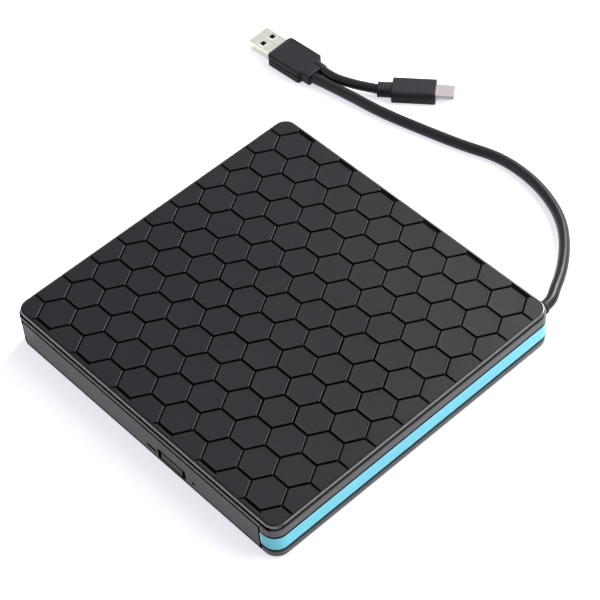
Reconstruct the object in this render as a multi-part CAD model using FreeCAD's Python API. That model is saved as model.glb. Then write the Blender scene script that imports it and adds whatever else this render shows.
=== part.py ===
import FreeCAD, Part
import math
import os

# External DVD drive with a sliding tray, a honeycomb top panel and a short
# two-headed USB lead. Sizes are in millimetres. The origin is the middle of
# the case's footprint on the table, +Z is up, the tray opens towards -Y and
# +X is to the right as seen from the front.

# The case, from the table upwards
case_width = 152.6
case_depth = 147.8
case_corner = 6.0
case_wall = 1.6
foot_height = 0.8
floor_thickness = 1.8
lower_wall = 4.6
shadow_gap = 0.6
band_height = 7.3
band_seam = 0.2
upper_wall = 4.4
edge_groove = 0.8
panel_plate = 0.9
cell_height = 0.4
deck_thickness = 1.7
base_round = 1.6
edge_break = 0.3
tongue_gap = 0.15
tongue_wall = 1.2
tongue_height = 10.1
lip_depth = 1.0
drive_side_gap = 0.3
mouth_depth = 3.0
rib_gap = 0.15
side_rib_y = (-30.0, 15.0)
side_rib_width = 1.6
side_rib_top_z = 10.0
back_rib_x = (-45.0, 0.0)
back_rib_width = 10.0
back_rib_depth = 1.2
back_rib_top_z = 9.0

# How far a cutter reaches past a surface, and how far joined solids reach into each other
over = 1.0
bury = 0.5

# The honeycomb panel
panel_inset = 0.3
panel_front_inset = 0.8
panel_round = 0.85
plateau_inset = 1.0
cell_side = 8.15
groove_floor = 0.5
groove_mouth = 1.1
rim_width = 1.2
lattice_shift = 0.2
column_count = 13
row_count = 11

# The tray's front
bezel_width = 139.2
bezel_shift = -1.6
bezel_height = 13.3
bezel_thickness = 2.2
bezel_rise = 1.8
bezel_low_gap = 0.3
bezel_side_gap = 0.4
bezel_top_gap = 0.3
bezel_back_gap = 0.4
button_x = 18.2
button_width = 13.2
button_height = 5.5
button_z = 6.45
button_gap = 0.45
button_travel = 0.6
button_flange = 0.9
button_flange_depth = 0.7
window_x = 6.4
window_width = 5.0
window_height = 1.2
pinhole_x = 30.6
pinhole_z = 6.0
pinhole_radius = 0.7
bezel_round = 0.35
button_corner = 1.0
button_cap_corner = 0.8
button_round = 0.2
button_low_gap = 0.3
button_top_gap = 0.5
stem_half_width = 1.2
stem_low_z = 5.6
stem_high_z = 7.2
stem_length = 4.5
window_drop = 0.4
window_corner = 0.55
light_pipe_recess = 0.1
light_pipe_reach = 2.0

# Case fasteners and feet
boss_x = 68.5
boss_front_y = -56.0
boss_back_y = 50.0
boss_radius = 2.6
boss_foot_radius = 4.1
boss_split_z = 7.0
screw_radius = 1.15
screw_head_radius = 2.4
screw_head_height = 1.6
screw_length = 9.0
foot_radius = 5.0
foot_seat = 0.6
fit_gap = 0.1
foot_fillet = 0.4
screw_clearance = 0.2
screw_end_gap = 0.5
cross_half_length = 1.4
cross_half_width = 0.3
cross_depth = 0.8
foam_y = (-45.0, 35.0)
foam_half_length = 45.0
foam_half_width = 4.0

# The drive's sheet metal
drive_width = 128.0
drive_depth = 127.0
drive_height = 12.7
sheet = 0.6
tab_length = 5.0
tab_positions = (-40.0, 30.0)
cover_flange = 2.5
rivet_radius = 0.8
rivet_head = 1.6
rivet_head_height = 0.5
rivet_bury = 0.3
flange_tab_gap = 0.5
flange_back_gap = 1.0
label_ring_outer = 34.0
label_ring_inner = 33.0
label_ring_depth = 0.2

# Slides of the tray
guide_height = 4.2
guide_rise = 0.7
slide_wall = 0.6
slide_gap = 0.3
guide_reach = 2.9
rail_reach = 2.6
tongue_thickness = 0.6
guide_front_gap = 0.4
guide_back_gap = 0.6
rail_front_gap = 0.7
rail_back_gap = 0.9
runner_front_gap = 0.9
runner_back_gap = 1.2
skirt_gap = 0.2

# The tray
tray_side_gap = 1.2
tray_back_gap = 0.8
tray_floor_z = 8.4
tray_floor = 1.8
tray_top_z = 13.0
small_disc_step = 0.8
skirt_wall = 1.6
skirt_low_z = 3.9
disc_radius = 60.0
disc_gap = 0.8
small_disc_radius = 40.0
small_disc_gap = 0.6
disc_centre_y = -8.0
tray_corner = 2.0
tray_wall = 1.6
tray_front_wall = 3.0
tray_opening_corner = 3.0
skirt_back_gap = 1.0
skirt_bury = 0.2
button_room_gap = 0.5
button_room_depth = 2.7
button_room_top = 0.4
light_room_gap = 0.7
light_room_depth = 2.0
light_room_top = 1.0
pinhole_room = 0.2
front_post_radius = 1.5
front_post_x = (4.5, 31.0)
front_post_y = -63.0

# The optical block, laid out along its own line from the spindle outwards
block_angle = 50.0
feed_travel = 34.0
lens_start = 24.0
cover_back = 20.0
cover_reach = 56.0
cover_half = 19.5
slot_half = 6.8
slot_end = 64.6
cover_gap = 0.4
cover_sheet = 0.6
cover_z = 9.2
frame_low_z = 4.4
frame_top_z = 8.0
frame_back = 19.0
frame_reach = 68.0
frame_left = 28.5
frame_right = 22.5
frame_clear_x = 57.0
frame_clear_y = 69.6
sled_back = 8.5
sled_front = 5.5
sled_half = 18.5
sled_corner = 5.0
sled_gap = 0.9
rod_v = 14.5
rod_z = 6.0
rod_radius = 1.2
rod_start = 8.0
rod_end = 66.5
running_gap = 0.06
screw_v = -23.6
lead_screw_radius = 1.0
lead_screw_core = 0.75
lead_screw_end = 56.8
lead_screw_pitch = 3.0
lead_screw_slot = 1.7
nut_length = 6.0
nut_gap = 0.3
stepper_back = 5.0
stepper_front = 13.0
stepper_half = 3.6
stepper_low_z = 3.9
stepper_top_z = 8.1
damper_places = ((-12.0, 25.0), (40.0, 25.0), (-14.0, -31.0))
damper_radius = 2.2
damper_flange_radius = 3.0
damper_screw_radius = 1.0
damper_screw_head = 0.6
damper_screw_depth = 0.7
ear_radius = 4.2
damper_flange_thickness = 0.6
damper_screw_head_radius = 1.9
cover_slot_gap = 0.3
cover_hole_gap = 0.9
cover_leg_radius = 1.1
cover_leg_places = ((-16.8, 16.0), (-16.8, -16.0), (9.0, 16.6), (9.0, -16.6))
stepper_end_gap = 1.2
lead_screw_tip_radius = 0.6
lead_screw_tip_length = 2.2
lead_screw_tip_room = 0.4
lead_screw_bury = 3.5
lead_screw_shoulder = 0.9
lead_screw_end_gap = 0.3
thread_end_gap = 1.5
well_inset = 1.0
well_depth = 1.0

# The spindle
motor_plate_z = 3.7
motor_hole = 14.3
bearing_radius = 3.2
shaft_radius = 1.5
stator_radius = 10.2
rotor_radius = 12.6
rotor_wall = 0.8
rotor_low_z = 5.0
rotor_top_z = 9.6
seat_z = 11.2
seat_pad = 0.2
seat_inner = 10.2
hub_radius = 7.4
hub_height = 2.0
catch_radius = 0.9
motor_plate_sides = (-17.0, 12.6, -16.5, 16.5)
motor_plate_round = 3.0
bearing_top_gap = 1.6
bearing_slip = 0.05
bearing_floor = 0.3
shaft_rise = 0.5
stator_core_radius = 6.0
stator_low_z = 5.2
stator_top_z = 7.4
stator_teeth = 9
stator_seat_wall = 1.2
tooth_root = 5.0
tooth_half_width = 1.3
hub_chamfer = 0.5
catch_clearance = 0.12
catch_proud = 0.06
pad_inset = 0.2

# The lens
lens_radius = 3.0
holder_half = 5.6
holder_low_z = 8.5
holder_top_z = 9.5
lens_proud = 0.5
holder_corner = 1.2
lens_dome_radius = 6.0

# The tray latch
latch_x = 44.5
latch_y = -42.0
latch_swing = 10.0
latch_arm = 3.0
latch_low_z = 4.2
latch_thickness = 1.2
post_x = 50.0
post_y = -62.0
post_radius = 1.2
post_height = 2.8
hook_gap = 0.3
hook_depth = 2.0
post_chamfer = 0.2
latch_hub_radius = 2.6
latch_pin_radius = 1.0
latch_pin_bury = 0.6
latch_head_radius = 1.9
latch_head_height = 0.3
latch_slip = 0.1
hook_past_post = 0.9
tab_start = 2.2
tab_width = 2.0
tab_before_pinhole = 1.2
tab_past_pinhole = 1.6
tab_rise = 0.8
magnet_coil = (-17.0, -5.5, -9.0, -2.0)
magnet_pole = (-5.6, -3.8, -6.5, -4.5)
magnet_pole_low_z = 4.6
magnet_pole_top_z = 7.4

# Boards
board_thickness = 0.8
front_board_z = 4.2
drive_board_z = 4.0
bridge_board_z = 4.6
bridge_x0 = 2.0
bridge_x1 = 56.0
bridge_gap = 0.6
sata_x0 = 12.0
sata_x1 = 44.0
ribbon_x = 32.0
ribbon_width = 12.0
ribbon_sheet = 0.2
ribbon_loop = 2.0
ribbon_y = 10.0
ribbon_back_y = 30.0
ribbon_upper_length = 12.0
ribbon_foot_length = 3.0
front_board_x = (2.0, 34.0)
front_board_start = 2.1
front_board_end = 11.2
switch_half_width = 3.0
switch_length = 4.5
switch_height = 3.0
switch_tip_radius = 0.8
switch_tip_length = 0.5
light_half_width = 1.0
light_start = 2.3
light_end = 3.8
light_height = 1.4
drive_board_x = (-8.0, 56.0)
drive_board_front_y = 24.0
drive_board_back_gap = 0.4
drive_post_radius = 1.6
drive_post_x = (-5.0, 52.0)
drive_post_y = (27.0, 51.0)
drive_post_bury = 0.2
bridge_post_radius = 1.8
bridge_post_x = (6.0, 50.0)
bridge_post_inset = 2.2
bridge_back_gap = 1.6
sata_window_low_z = 4.4
sata_window_top_z = 8.0
sata_gap = 0.2
sata_plug_height = 2.9
sata_plug_depth = 4.5
sata_slot_inset = 2.0
sata_slot_depth = 3.0
sata_slot_low = 0.9
sata_slot_high = 2.0
sata_socket_height = 3.2
sata_socket_depth = 5.5
sata_tongue_side_gap = 0.3
sata_tongue_rise = 0.2
sata_tongue_thickness = 0.7
sata_tongue_depth = 2.5
# Chips on the drive's board as x0, x1, y0, y1 and height
drive_chips = ((20.0, 34.0, 32.0, 46.0, 1.2), (2.0, 12.0, 34.0, 44.0, 1.0),
               (40.0, 48.0, 30.0, 36.0, 1.6), (24.0, 40.0, 24.4, 28.4, 1.4))
# The same on the bridge board, where the depths count inwards from its back edge
bridge_chips = ((20.0, 27.0, 0.5, 7.5, 1.0), (31.0, 34.2, 1.5, 4.0, 0.8), (38.0, 42.0, 1.0, 5.0, 1.8))
bridge_can_x = 12.0
bridge_can_inset = 4.0
bridge_can_radius = 2.0
bridge_can_height = 4.5

# The spring-loaded pin that starts the tray on its way
ejector_x = -43.0
ejector_y0 = 30.0
ejector_z = 5.6
ejector_half_width = 3.0
ejector_rise = 2.2
ejector_bore_radius = 1.5
ejector_bore_depth = 18.0
ejector_tip_radius = 1.4
ejector_tip_length = 3.0
ejector_tip_reach = 1.0
ejector_stem_radius = 0.6
ejector_stem_length = 12.0
spring_outer_radius = 1.3
spring_inner_radius = 0.8
spring_length = 16.0
ejector_pad_gap = 0.3
ejector_pad_thickness = 1.8
ejector_pad_rise = 0.6

# The lead and its plugs
cord_diameter = 4.8
branch_diameter = 4.4
inner_lead_diameter = 2.6
exit_x = 67.3
exit_z = 8.85
gland_radius = 2.7
gland_stop = 3.0
gland_flange = 3.4
gland_flange_depth = 1.0
gland_step = 0.2
gland_tip = 2.8
gland_taper = 4.5
gland_tilt = 0.0
plug_a_turn = 3.2
plug_a_mouth = (-134.2, 109.3)
plug_a_shell_width = 12.0
plug_a_shell_height = 4.5
plug_a_shell_length = 12.9
plug_a_shell_corner = 0.5
plug_a_window_start = 5.2
plug_a_window_end = 7.4
plug_a_window_y = 2.9
plug_a_window_half = 1.15
plug_a_tongue_start = 0.6
plug_a_tongue_side_gap = 0.5
plug_a_tongue_thickness = 1.8
plug_a_body_length = 19.5
plug_a_body_width = 15.6
plug_a_body_height = 7.2
plug_a_front_corner = 1.2
plug_a_back_corner = 1.0
plug_a_edge_chamfer = 0.9
plug_a_groove_depth = 0.35
plug_a_groove_drop = 2.4
plug_a_groove_height = 0.7
plug_a_groove_inset = 1.5
plug_a_block_length = 4.8
plug_a_block_width = 8.5
plug_a_block_low_z = 1.2
plug_a_block_height = 5.6
plug_a_block_shift = -2.1
plug_a_block_corner = 1.2
collar_shift = 3.1
collar_length = 5.1
collar_radius = 2.6
collar_z = 4.1
plug_c_turn = 39.5
plug_c_neck_start = (-72.0, 123.3)
plug_c_neck_length = 6.4
plug_c_neck_width = 7.2
plug_c_neck_height = 5.4
plug_c_neck_corner = 2.4
plug_c_body_length = 19.3
plug_c_body_width = 11.9
plug_c_body_height = 6.5
plug_c_body_corner = 2.2
plug_c_end_round = 0.4
plug_c_shell_width = 8.34
plug_c_shell_height = 2.56
plug_c_shell_length = 7.9
plug_c_shell_corner = 1.2
plug_c_liner_corner = 0.9
plug_c_liner_length = 5.5
plug_c_liner_wall = 0.7
plug_c_liner_roof = 0.45
plug_c_room_start = 0.5
plug_c_room_corner = 0.4
metal = 0.3
shell_bury = 1.0

# The lead's route from the grommet to the larger plug, points chosen by hand
cord_route = [
    (67.3, 79.4, 8.85),
    (67.3, 83.3, 8.85),
    (64.0, 89.0, 8.5),
    (59.4, 97.8, 7.2),
    (51.4, 108.8, 5.4),
    (41.5, 118.9, 3.9),
    (29.5, 126.2, 2.9),
    (13.0, 131.0, 2.5),
    (-5.5, 131.0, 2.5),
    (-22.0, 124.9, 2.5),
    (-42.0, 119.6, 2.5),
    (-62.0, 114.6, 2.6),
    (-81.0, 112.2, 2.9),
    (-98.3, 108.2, 3.9),
]
# The short branch from the larger plug's collar to the smaller plug
branch_route = [
    (-99.1, 114.4, 4.1),
    (-91.3, 114.2, 4.1),
    (-84.5, 116.8, 3.75),
    (-77.4, 120.3, 3.35),
    (-71.2, 124.0, 3.25),
]

# Heights and places that follow from the sizes above
lower_low_z = foot_height
lower_top_z = lower_low_z + lower_wall
band_low_z = lower_top_z + shadow_gap
band_top_z = band_low_z + band_height
upper_low_z = band_top_z + band_seam
upper_top_z = upper_low_z + upper_wall
plateau_z = upper_top_z + edge_groove
plate_top_z = plateau_z + panel_plate
case_height = plate_top_z + cell_height
floor_z = lower_low_z + floor_thickness
deck_z = plateau_z - deck_thickness
half_width = case_width / 2
half_depth = case_depth / 2
front_y = -half_depth
bezel_back_y = front_y + bezel_thickness
bezel_low_z = lower_low_z + bezel_rise
bezel_top_z = bezel_low_z + bezel_height
bezel_x0 = bezel_shift - bezel_width / 2
bezel_x1 = bezel_shift + bezel_width / 2
notch_x0 = bezel_x0 - bezel_side_gap
notch_x1 = bezel_x1 + bezel_side_gap
notch_low_z = bezel_low_z - bezel_low_gap
notch_y = bezel_back_y + bezel_back_gap
notch_z = bezel_top_z + bezel_top_gap
drive_half = drive_width / 2
drive_front_y = notch_y + fit_gap
drive_back_y = drive_front_y + drive_depth
drive_low_z = floor_z
drive_top_z = drive_low_z + drive_height
pan_z = drive_low_z + sheet
cover_low_z = drive_top_z - sheet
side_inner = drive_half - sheet
back_inner_y = drive_back_y - sheet
guide_low_z = pan_z + guide_rise
guide_mid_z = guide_low_z + guide_height / 2
rail_height = guide_height - 2 * slide_wall - 2 * slide_gap
rail_outer = side_inner - slide_wall - slide_gap
tongue_outer = rail_outer - slide_wall - slide_gap
tray_half = side_inner - tray_side_gap
tray_front_y = bezel_back_y
tray_back_y = back_inner_y - tray_back_gap
recess_z = tray_floor_z + tray_floor
skirt_outer = rail_outer - rail_reach - slide_gap - skirt_gap
skirt_inner = skirt_outer - skirt_wall
button_top_z = button_z + button_height / 2
stem_tip_y = tray_front_y + stem_length
hub_top_z = seat_z + seat_pad + hub_height
lens_top_z = holder_top_z + lens_proud
exit_y = half_depth
gland_inner_y = half_depth - case_wall - tongue_gap - tongue_wall
bridge_y0 = drive_back_y + bridge_back_gap
bridge_y1 = gland_inner_y - bridge_gap
boss_places = [(side * boss_x, y) for side in (-1, 1) for y in (boss_front_y, boss_back_y)]

UP = FreeCAD.Vector(0, 0, 1)


def vec(x, y, z=0.0):
    return FreeCAD.Vector(x, y, z)


def block(x0, x1, y0, y1, z0, z1):
    """A plain box between two corners."""
    return Part.makeBox(x1 - x0, y1 - y0, z1 - z0, vec(x0, y0, z0))


def disc(x, y, radius, z0, z1):
    """An upright cylinder."""
    return Part.makeCylinder(radius, z1 - z0, vec(x, y, z0), UP)


def ring(x, y, outer, inner, z0, z1):
    return disc(x, y, outer, z0, z1).cut(disc(x, y, inner, z0, z1))


def rounded(x0, x1, y0, y1, radius, z0, z1):
    """A box whose four upright edges are rounded."""
    solid = block(x0, x1, y0, y1, z0, z1)
    upright = [edge for edge in solid.Edges if abs(edge.tangentAt(edge.FirstParameter).z) > 0.9]
    return solid.makeFillet(radius, upright)


def case_block(inset, z0, z1):
    """The case's outline, drawn in by an inset, between two heights."""
    radius = max(case_corner - inset, 0.5)
    x = half_width - inset
    y = half_depth - inset
    return rounded(-x, x, -y, y, radius, z0, z1)


def case_ring(outer_inset, inner_inset, z0, z1):
    return case_block(outer_inset, z0, z1).cut(case_block(inner_inset, z0, z1))


def join(solids):
    """Solids that touch or overlap, made one."""
    return solids[0].multiFuse(solids[1:]).removeSplitter()


def less(solid, cutters):
    return solid.cut(Part.makeCompound(cutters))


def group(solids):
    return Part.makeCompound(solids)


def polygon(points, z0, z1):
    """An upright prism on a flat outline."""
    corners = [vec(x, y, z0) for x, y in points]
    face = Part.Face(Part.makePolygon(corners + corners[:1]))
    return face.extrude(vec(0, 0, z1 - z0))


def flat_edges(solid, z):
    """The edges of a solid that lie wholly at one height."""
    return [edge for edge in solid.Edges
            if abs(edge.BoundBox.ZMin - z) < 1e-4 and abs(edge.BoundBox.ZMax - z) < 1e-4]


def pieces_of(shape):
    return shape.Solids[0] if len(shape.Solids) == 1 else shape


def front_notch(z1):
    """The space that the tray's front takes out of the case, above the floor's front lip."""
    return block(notch_x0, notch_x1, front_y - over, notch_y, notch_low_z, z1)


# The case

def hexagon(x, y, radius, z):
    corners = [vec(x + radius * math.cos(math.radians(60 * k)),
                   y + radius * math.sin(math.radians(60 * k)), z) for k in range(6)]
    return Part.makePolygon(corners + corners[:1])


def cell(x, y):
    """One raised cell, a hexagon whose sides lean in towards its top."""
    slant = math.cos(math.radians(30))
    foot = cell_side - groove_floor / 2 / slant
    crown = cell_side - groove_mouth / 2 / slant
    lean = foot - crown
    low = hexagon(x, y, foot + lean, plate_top_z - cell_height)
    high = hexagon(x, y, crown - lean, case_height + cell_height)
    return Part.makeLoft([low, high], True, True)


def cell_centres():
    """Every cell of the honeycomb, in columns that step by half a row."""
    y_middle = (panel_front_inset - panel_inset) / 2 + lattice_shift
    row = math.sqrt(3) * cell_side
    columns = range(-(column_count // 2), column_count // 2 + 1)
    for column in columns:
        rows = range(-(row_count // 2), row_count // 2 + 1)
        for step in rows:
            if column % 2:
                if step == row_count // 2:
                    continue
                y = (step + 0.5) * row
            else:
                y = step * row
            yield 1.5 * cell_side * column, y_middle + y


def panel_block(inset, z0, z1):
    x = half_width - panel_inset - inset
    y0 = front_y + panel_front_inset + inset
    y1 = half_depth - panel_inset - inset
    radius = max(case_corner - panel_inset - inset, 0.5)
    return rounded(-x, x, y0, y1, radius, z0, z1)


def top_panel():
    plate = panel_block(0, plateau_z, case_height)
    plate = plate.makeFillet(panel_round, flat_edges(plate, case_height))
    slab = panel_block(rim_width, plate_top_z, case_height + over)
    cells = [cell(x, y) for x, y in cell_centres()]
    grooves = slab.cut(cells)
    return plate.cut(grooves)


def upper_housing():
    shell = case_block(0, upper_low_z, upper_top_z)
    shell = shell.makeFillet(edge_break, flat_edges(shell, upper_top_z))
    plateau = case_block(plateau_inset, upper_top_z - bury, plateau_z)
    room = case_block(case_wall, upper_low_z - over, deck_z)
    shell = join([shell, plateau]).cut(room)
    shell = shell.cut(front_notch(notch_z))
    bosses = [disc(x, y, boss_radius, boss_split_z, deck_z) for x, y in boss_places]
    shell = join([shell] + bosses)
    holes = [disc(x, y, screw_radius, boss_split_z - over, boss_split_z + screw_length)
             for x, y in boss_places]
    return less(shell, holes)


def trim_band():
    outer = case_block(0, band_low_z, band_top_z)
    outer = outer.makeFillet(edge_break, flat_edges(outer, band_low_z) + flat_edges(outer, band_top_z))
    lip = case_block(case_wall - lip_depth, lower_top_z, upper_low_z)
    band = join([outer, lip]).cut(case_block(case_wall, 0, case_height))
    mouth = block(notch_x0, notch_x1, front_y - over, front_y + case_corner + case_wall,
                  0, case_height)
    hole = Part.makeCylinder(gland_radius, 10, vec(exit_x, exit_y - 5, exit_z), vec(0, 1, 0))
    return less(band, [mouth, hole])


def lower_housing():
    shell = case_block(0, lower_low_z, lower_top_z)
    shell = shell.makeFillet(base_round, flat_edges(shell, lower_low_z))
    shell = shell.cut(case_block(case_wall, floor_z, case_height))
    inner = case_wall + tongue_gap
    tongue = case_ring(inner, inner + tongue_wall, floor_z, lower_top_z + tongue_height)
    root = case_ring(case_wall - bury, inner + tongue_wall, floor_z - bury, lower_top_z - bury)
    shell = join([shell, root, tongue])
    bosses = [disc(x, y, boss_foot_radius, floor_z - bury, boss_split_z) for x, y in boss_places]
    posts = [disc(x, y, bridge_post_radius, floor_z - bury, bridge_board_z) for x, y in bridge_posts()]
    shell = join([shell] + bosses + posts + drive_ribs())
    cuts = [front_notch(case_height)]
    mouth_half = drive_half + drive_side_gap
    cuts.append(block(-mouth_half, mouth_half, front_y - over, notch_y + mouth_depth, floor_z, case_height))
    for x, y in boss_places:
        cuts.append(disc(x, y, foot_radius + fit_gap, lower_low_z - over, lower_low_z + foot_seat))
        cuts.append(disc(x, y, screw_head_radius + screw_clearance, lower_low_z, screw_seat_z()))
        cuts.append(disc(x, y, screw_radius + screw_clearance, lower_low_z, boss_split_z + over))
    cuts.append(Part.makeCylinder(gland_radius, 10, vec(exit_x, exit_y - 7, exit_z), vec(0, 1, 0)))
    return less(shell, cuts)


def screw_seat_z():
    return lower_low_z + foot_seat + screw_head_height + screw_clearance


def drive_ribs():
    """Upright ribs that hold the drive sideways, tied to the case's inner wall."""
    reach = half_width - case_wall - tongue_gap - tongue_wall / 2
    ribs = []
    for y in side_rib_y:
        for side in (-1, 1):
            x0, x1 = sorted((side * (drive_half + rib_gap), side * reach))
            ribs.append(block(x0, x1, y - side_rib_width / 2, y + side_rib_width / 2,
                              floor_z - bury, side_rib_top_z))
    for x in back_rib_x:
        y0 = drive_back_y + rib_gap
        ribs.append(block(x - back_rib_width / 2, x + back_rib_width / 2, y0, y0 + back_rib_depth,
                          floor_z - bury, back_rib_top_z))
    return ribs


def bridge_posts():
    """Two posts near the drive and one at the back; the fourth corner belongs to the lead."""
    near_y = bridge_y0 + bridge_post_inset
    return [(bridge_post_x[0], near_y), (bridge_post_x[1], near_y),
            (bridge_post_x[0], bridge_y1 - bridge_post_inset)]


def feet():
    pads = []
    for x, y in boss_places:
        pad = disc(x, y, foot_radius, 0, lower_low_z + foot_seat)
        pads.append(pad.makeFillet(foot_fillet, flat_edges(pad, 0)))
    return group(pads)


def housing_screws():
    screws = []
    top = screw_seat_z()
    cross_z = top - screw_head_height + cross_depth
    for x, y in boss_places:
        head = disc(x, y, screw_head_radius, top - screw_head_height, top)
        shank = disc(x, y, screw_radius, top, boss_split_z + screw_length - screw_end_gap)
        bars = [block(x - half_x, x + half_x, y - half_y, y + half_y, 0, cross_z)
                for half_x, half_y in ((cross_half_length, cross_half_width),
                                       (cross_half_width, cross_half_length))]
        screws.append(join([head, shank]).cut(join(bars)))
    return group(screws)


def foam_pads():
    pads = []
    for y in foam_y:
        pads.append(block(-foam_half_length, foam_half_length, y - foam_half_width, y + foam_half_width,
                          drive_top_z, deck_z))
    return group(pads)


# The drive's fixed parts

def drive_base():
    pan = block(-drive_half, drive_half, drive_front_y, drive_back_y, drive_low_z, cover_low_z)
    room = block(-side_inner, side_inner, drive_front_y - over, back_inner_y, pan_z, case_height)
    pan = pan.cut(room)
    tabs = []
    for y in tab_positions:
        for side in (-1, 1):
            x0, x1 = sorted((side * (side_inner - tab_length), side * (side_inner + 0.1)))
            tabs.append(block(x0, x1, y - tab_length / 2, y + tab_length / 2,
                              cover_low_z - sheet, cover_low_z))
    posts = [disc(x, y, drive_post_radius, pan_z - drive_post_bury, drive_board_z)
             for x in drive_post_x for y in drive_post_y]
    pan = join([pan] + tabs + posts)
    holes = [disc(x, y, rivet_radius, cover_low_z - 2, cover_low_z + 1) for x, y in rivet_places()]
    holes.append(block(sata_x0 - over, sata_x1 + over, back_inner_y - over, drive_back_y + over,
                       sata_window_low_z, sata_window_top_z))
    holes.append(disc(post_x, post_y, post_radius, drive_low_z - over, pan_z + over))
    return less(pan, holes)


def rivet_places():
    x = side_inner - tab_length / 2
    return [(side * x, y) for side in (-1, 1) for y in tab_positions]


def drive_cover():
    plate = block(-drive_half, drive_half, drive_front_y, drive_back_y, cover_low_z, drive_top_z)
    parts = [plate]
    for side in (-1, 1):
        x0, x1 = sorted((side * (side_inner - sheet), side * side_inner))
        start = drive_front_y
        for stop in list(tab_positions) + [drive_back_y - sheet]:
            gap = tab_length / 2 + flange_tab_gap if stop in tab_positions else flange_back_gap
            parts.append(block(x0, x1, start, stop - gap, cover_low_z - cover_flange,
                               cover_low_z + 0.1))
            start = stop + gap
    cover = join(parts)
    holes = [disc(x, y, rivet_radius, cover_low_z - over, drive_top_z + over) for x, y in rivet_places()]
    holes.append(ring(0, disc_centre_y, label_ring_outer, label_ring_inner,
                      drive_top_z - label_ring_depth, drive_top_z + over))
    return less(cover, holes)


def cover_screws():
    screws = []
    for x, y in rivet_places():
        head = disc(x, y, rivet_head, drive_top_z, drive_top_z + rivet_head_height)
        shank = disc(x, y, rivet_radius, cover_low_z - sheet - rivet_bury, drive_top_z)
        screws.append(join([head, shank]))
    return group(screws)


def channel(outer, reach, height, mid_z, y0, y1, wall, side):
    """A C-shaped strip that is open towards the tray."""
    inner = outer - reach
    bar = block(inner, outer, y0, y1, mid_z - height / 2, mid_z + height / 2)
    room = block(inner - over, outer - wall, y0 - over, y1 + over,
                 mid_z - height / 2 + wall, mid_z + height / 2 - wall)
    strip = bar.cut(room)
    return strip if side > 0 else strip.mirror(vec(0, 0, 0), vec(1, 0, 0))


def rail_guide(side):
    return channel(side_inner, guide_reach, guide_height, guide_mid_z,
                   drive_front_y + guide_front_gap, back_inner_y - guide_back_gap, slide_wall, side)


def slide_rail(side):
    return channel(rail_outer, rail_reach, rail_height, guide_mid_z,
                   drive_front_y + rail_front_gap, back_inner_y - rail_back_gap, slide_wall, side)


def striker_post():
    pin = disc(post_x, post_y, post_radius, drive_low_z, pan_z + post_height)
    return pin.makeChamfer(post_chamfer, flat_edges(pin, pan_z + post_height))


def drive_board():
    return block(*drive_board_x, drive_board_front_y, back_inner_y - drive_board_back_gap,
                 drive_board_z, drive_board_z + board_thickness)


def board_components():
    """What is soldered on the drive's board and on the bridge board."""
    z = drive_board_z + board_thickness
    soldered = [block(x0, x1, y0, y1, z, z + height) for x0, x1, y0, y1, height in drive_chips]
    z = bridge_board_z + board_thickness
    soldered += [block(x0, x1, bridge_y1 - far, bridge_y1 - near, z, z + height)
                 for x0, x1, near, far, height in bridge_chips]
    soldered.append(disc(bridge_can_x, bridge_y1 - bridge_can_inset, bridge_can_radius,
                         z, z + bridge_can_height))
    return group(soldered)


def sata_plug():
    """The drive's own connector, with the slot that the tongue enters."""
    z = drive_board_z + board_thickness
    body = block(sata_x0, sata_x1, back_inner_y - sata_plug_depth, drive_back_y - sata_gap,
                 z, z + sata_plug_height)
    slot = block(sata_x0 + sata_slot_inset, sata_x1 - sata_slot_inset, back_inner_y - sata_slot_depth,
                 drive_back_y + over, z + sata_slot_low, z + sata_slot_high)
    return body.cut(slot)


def sata_socket():
    z = bridge_board_z + board_thickness
    body = block(sata_x0, sata_x1, drive_back_y + sata_gap, drive_back_y + sata_socket_depth,
                 z, z + sata_socket_height)
    low = drive_board_z + board_thickness + sata_slot_low + sata_tongue_rise
    inset = sata_slot_inset + sata_tongue_side_gap
    tongue = block(sata_x0 + inset, sata_x1 - inset, back_inner_y - sata_tongue_depth,
                   drive_back_y + 2 * sata_gap, low, low + sata_tongue_thickness)
    return join([body, tongue])


def bridge_board():
    return block(bridge_x0, bridge_x1, bridge_y0, bridge_y1,
                 bridge_board_z, bridge_board_z + board_thickness)


def flex_ribbon():
    """The flat cable's fixed run, with the loop that rolls as the tray moves."""
    x0 = ribbon_x - ribbon_width / 2
    x1 = ribbon_x + ribbon_width / 2
    upper_z = pan_z + 2 * ribbon_loop
    lower = block(x0, x1, ribbon_y, ribbon_back_y, pan_z, pan_z + ribbon_sheet)
    upper = block(x0, x1, ribbon_y, ribbon_y + ribbon_upper_length, upper_z, upper_z + ribbon_sheet)
    centre = vec(x0, ribbon_y, pan_z + ribbon_loop + ribbon_sheet / 2)
    tube = Part.makeCylinder(ribbon_loop + ribbon_sheet / 2, ribbon_width, centre, vec(1, 0, 0))
    bore = Part.makeCylinder(ribbon_loop - ribbon_sheet / 2, ribbon_width, centre, vec(1, 0, 0))
    front_half = block(x0, x1, ribbon_y - 2 * ribbon_loop, ribbon_y, pan_z - over, tray_floor_z)
    loop = tube.cut(bore).common(front_half)
    foot = block(x0, x1, ribbon_back_y - ribbon_foot_length, ribbon_back_y, pan_z, drive_board_z)
    return join([lower, upper, loop, foot])


def along_y(x, y, z, radius, length):
    """A round bar towards the back."""
    return Part.makeCylinder(radius, length, vec(x, y, z), vec(0, 1, 0))


def ejector_holder():
    """The block at the back of the drive that holds the spring-loaded pin."""
    body = block(ejector_x - ejector_half_width, ejector_x + ejector_half_width, ejector_y0, back_inner_y,
                 pan_z, ejector_z + ejector_rise)
    return body.cut(along_y(ejector_x, ejector_y0, ejector_z, ejector_bore_radius, ejector_bore_depth))


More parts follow.
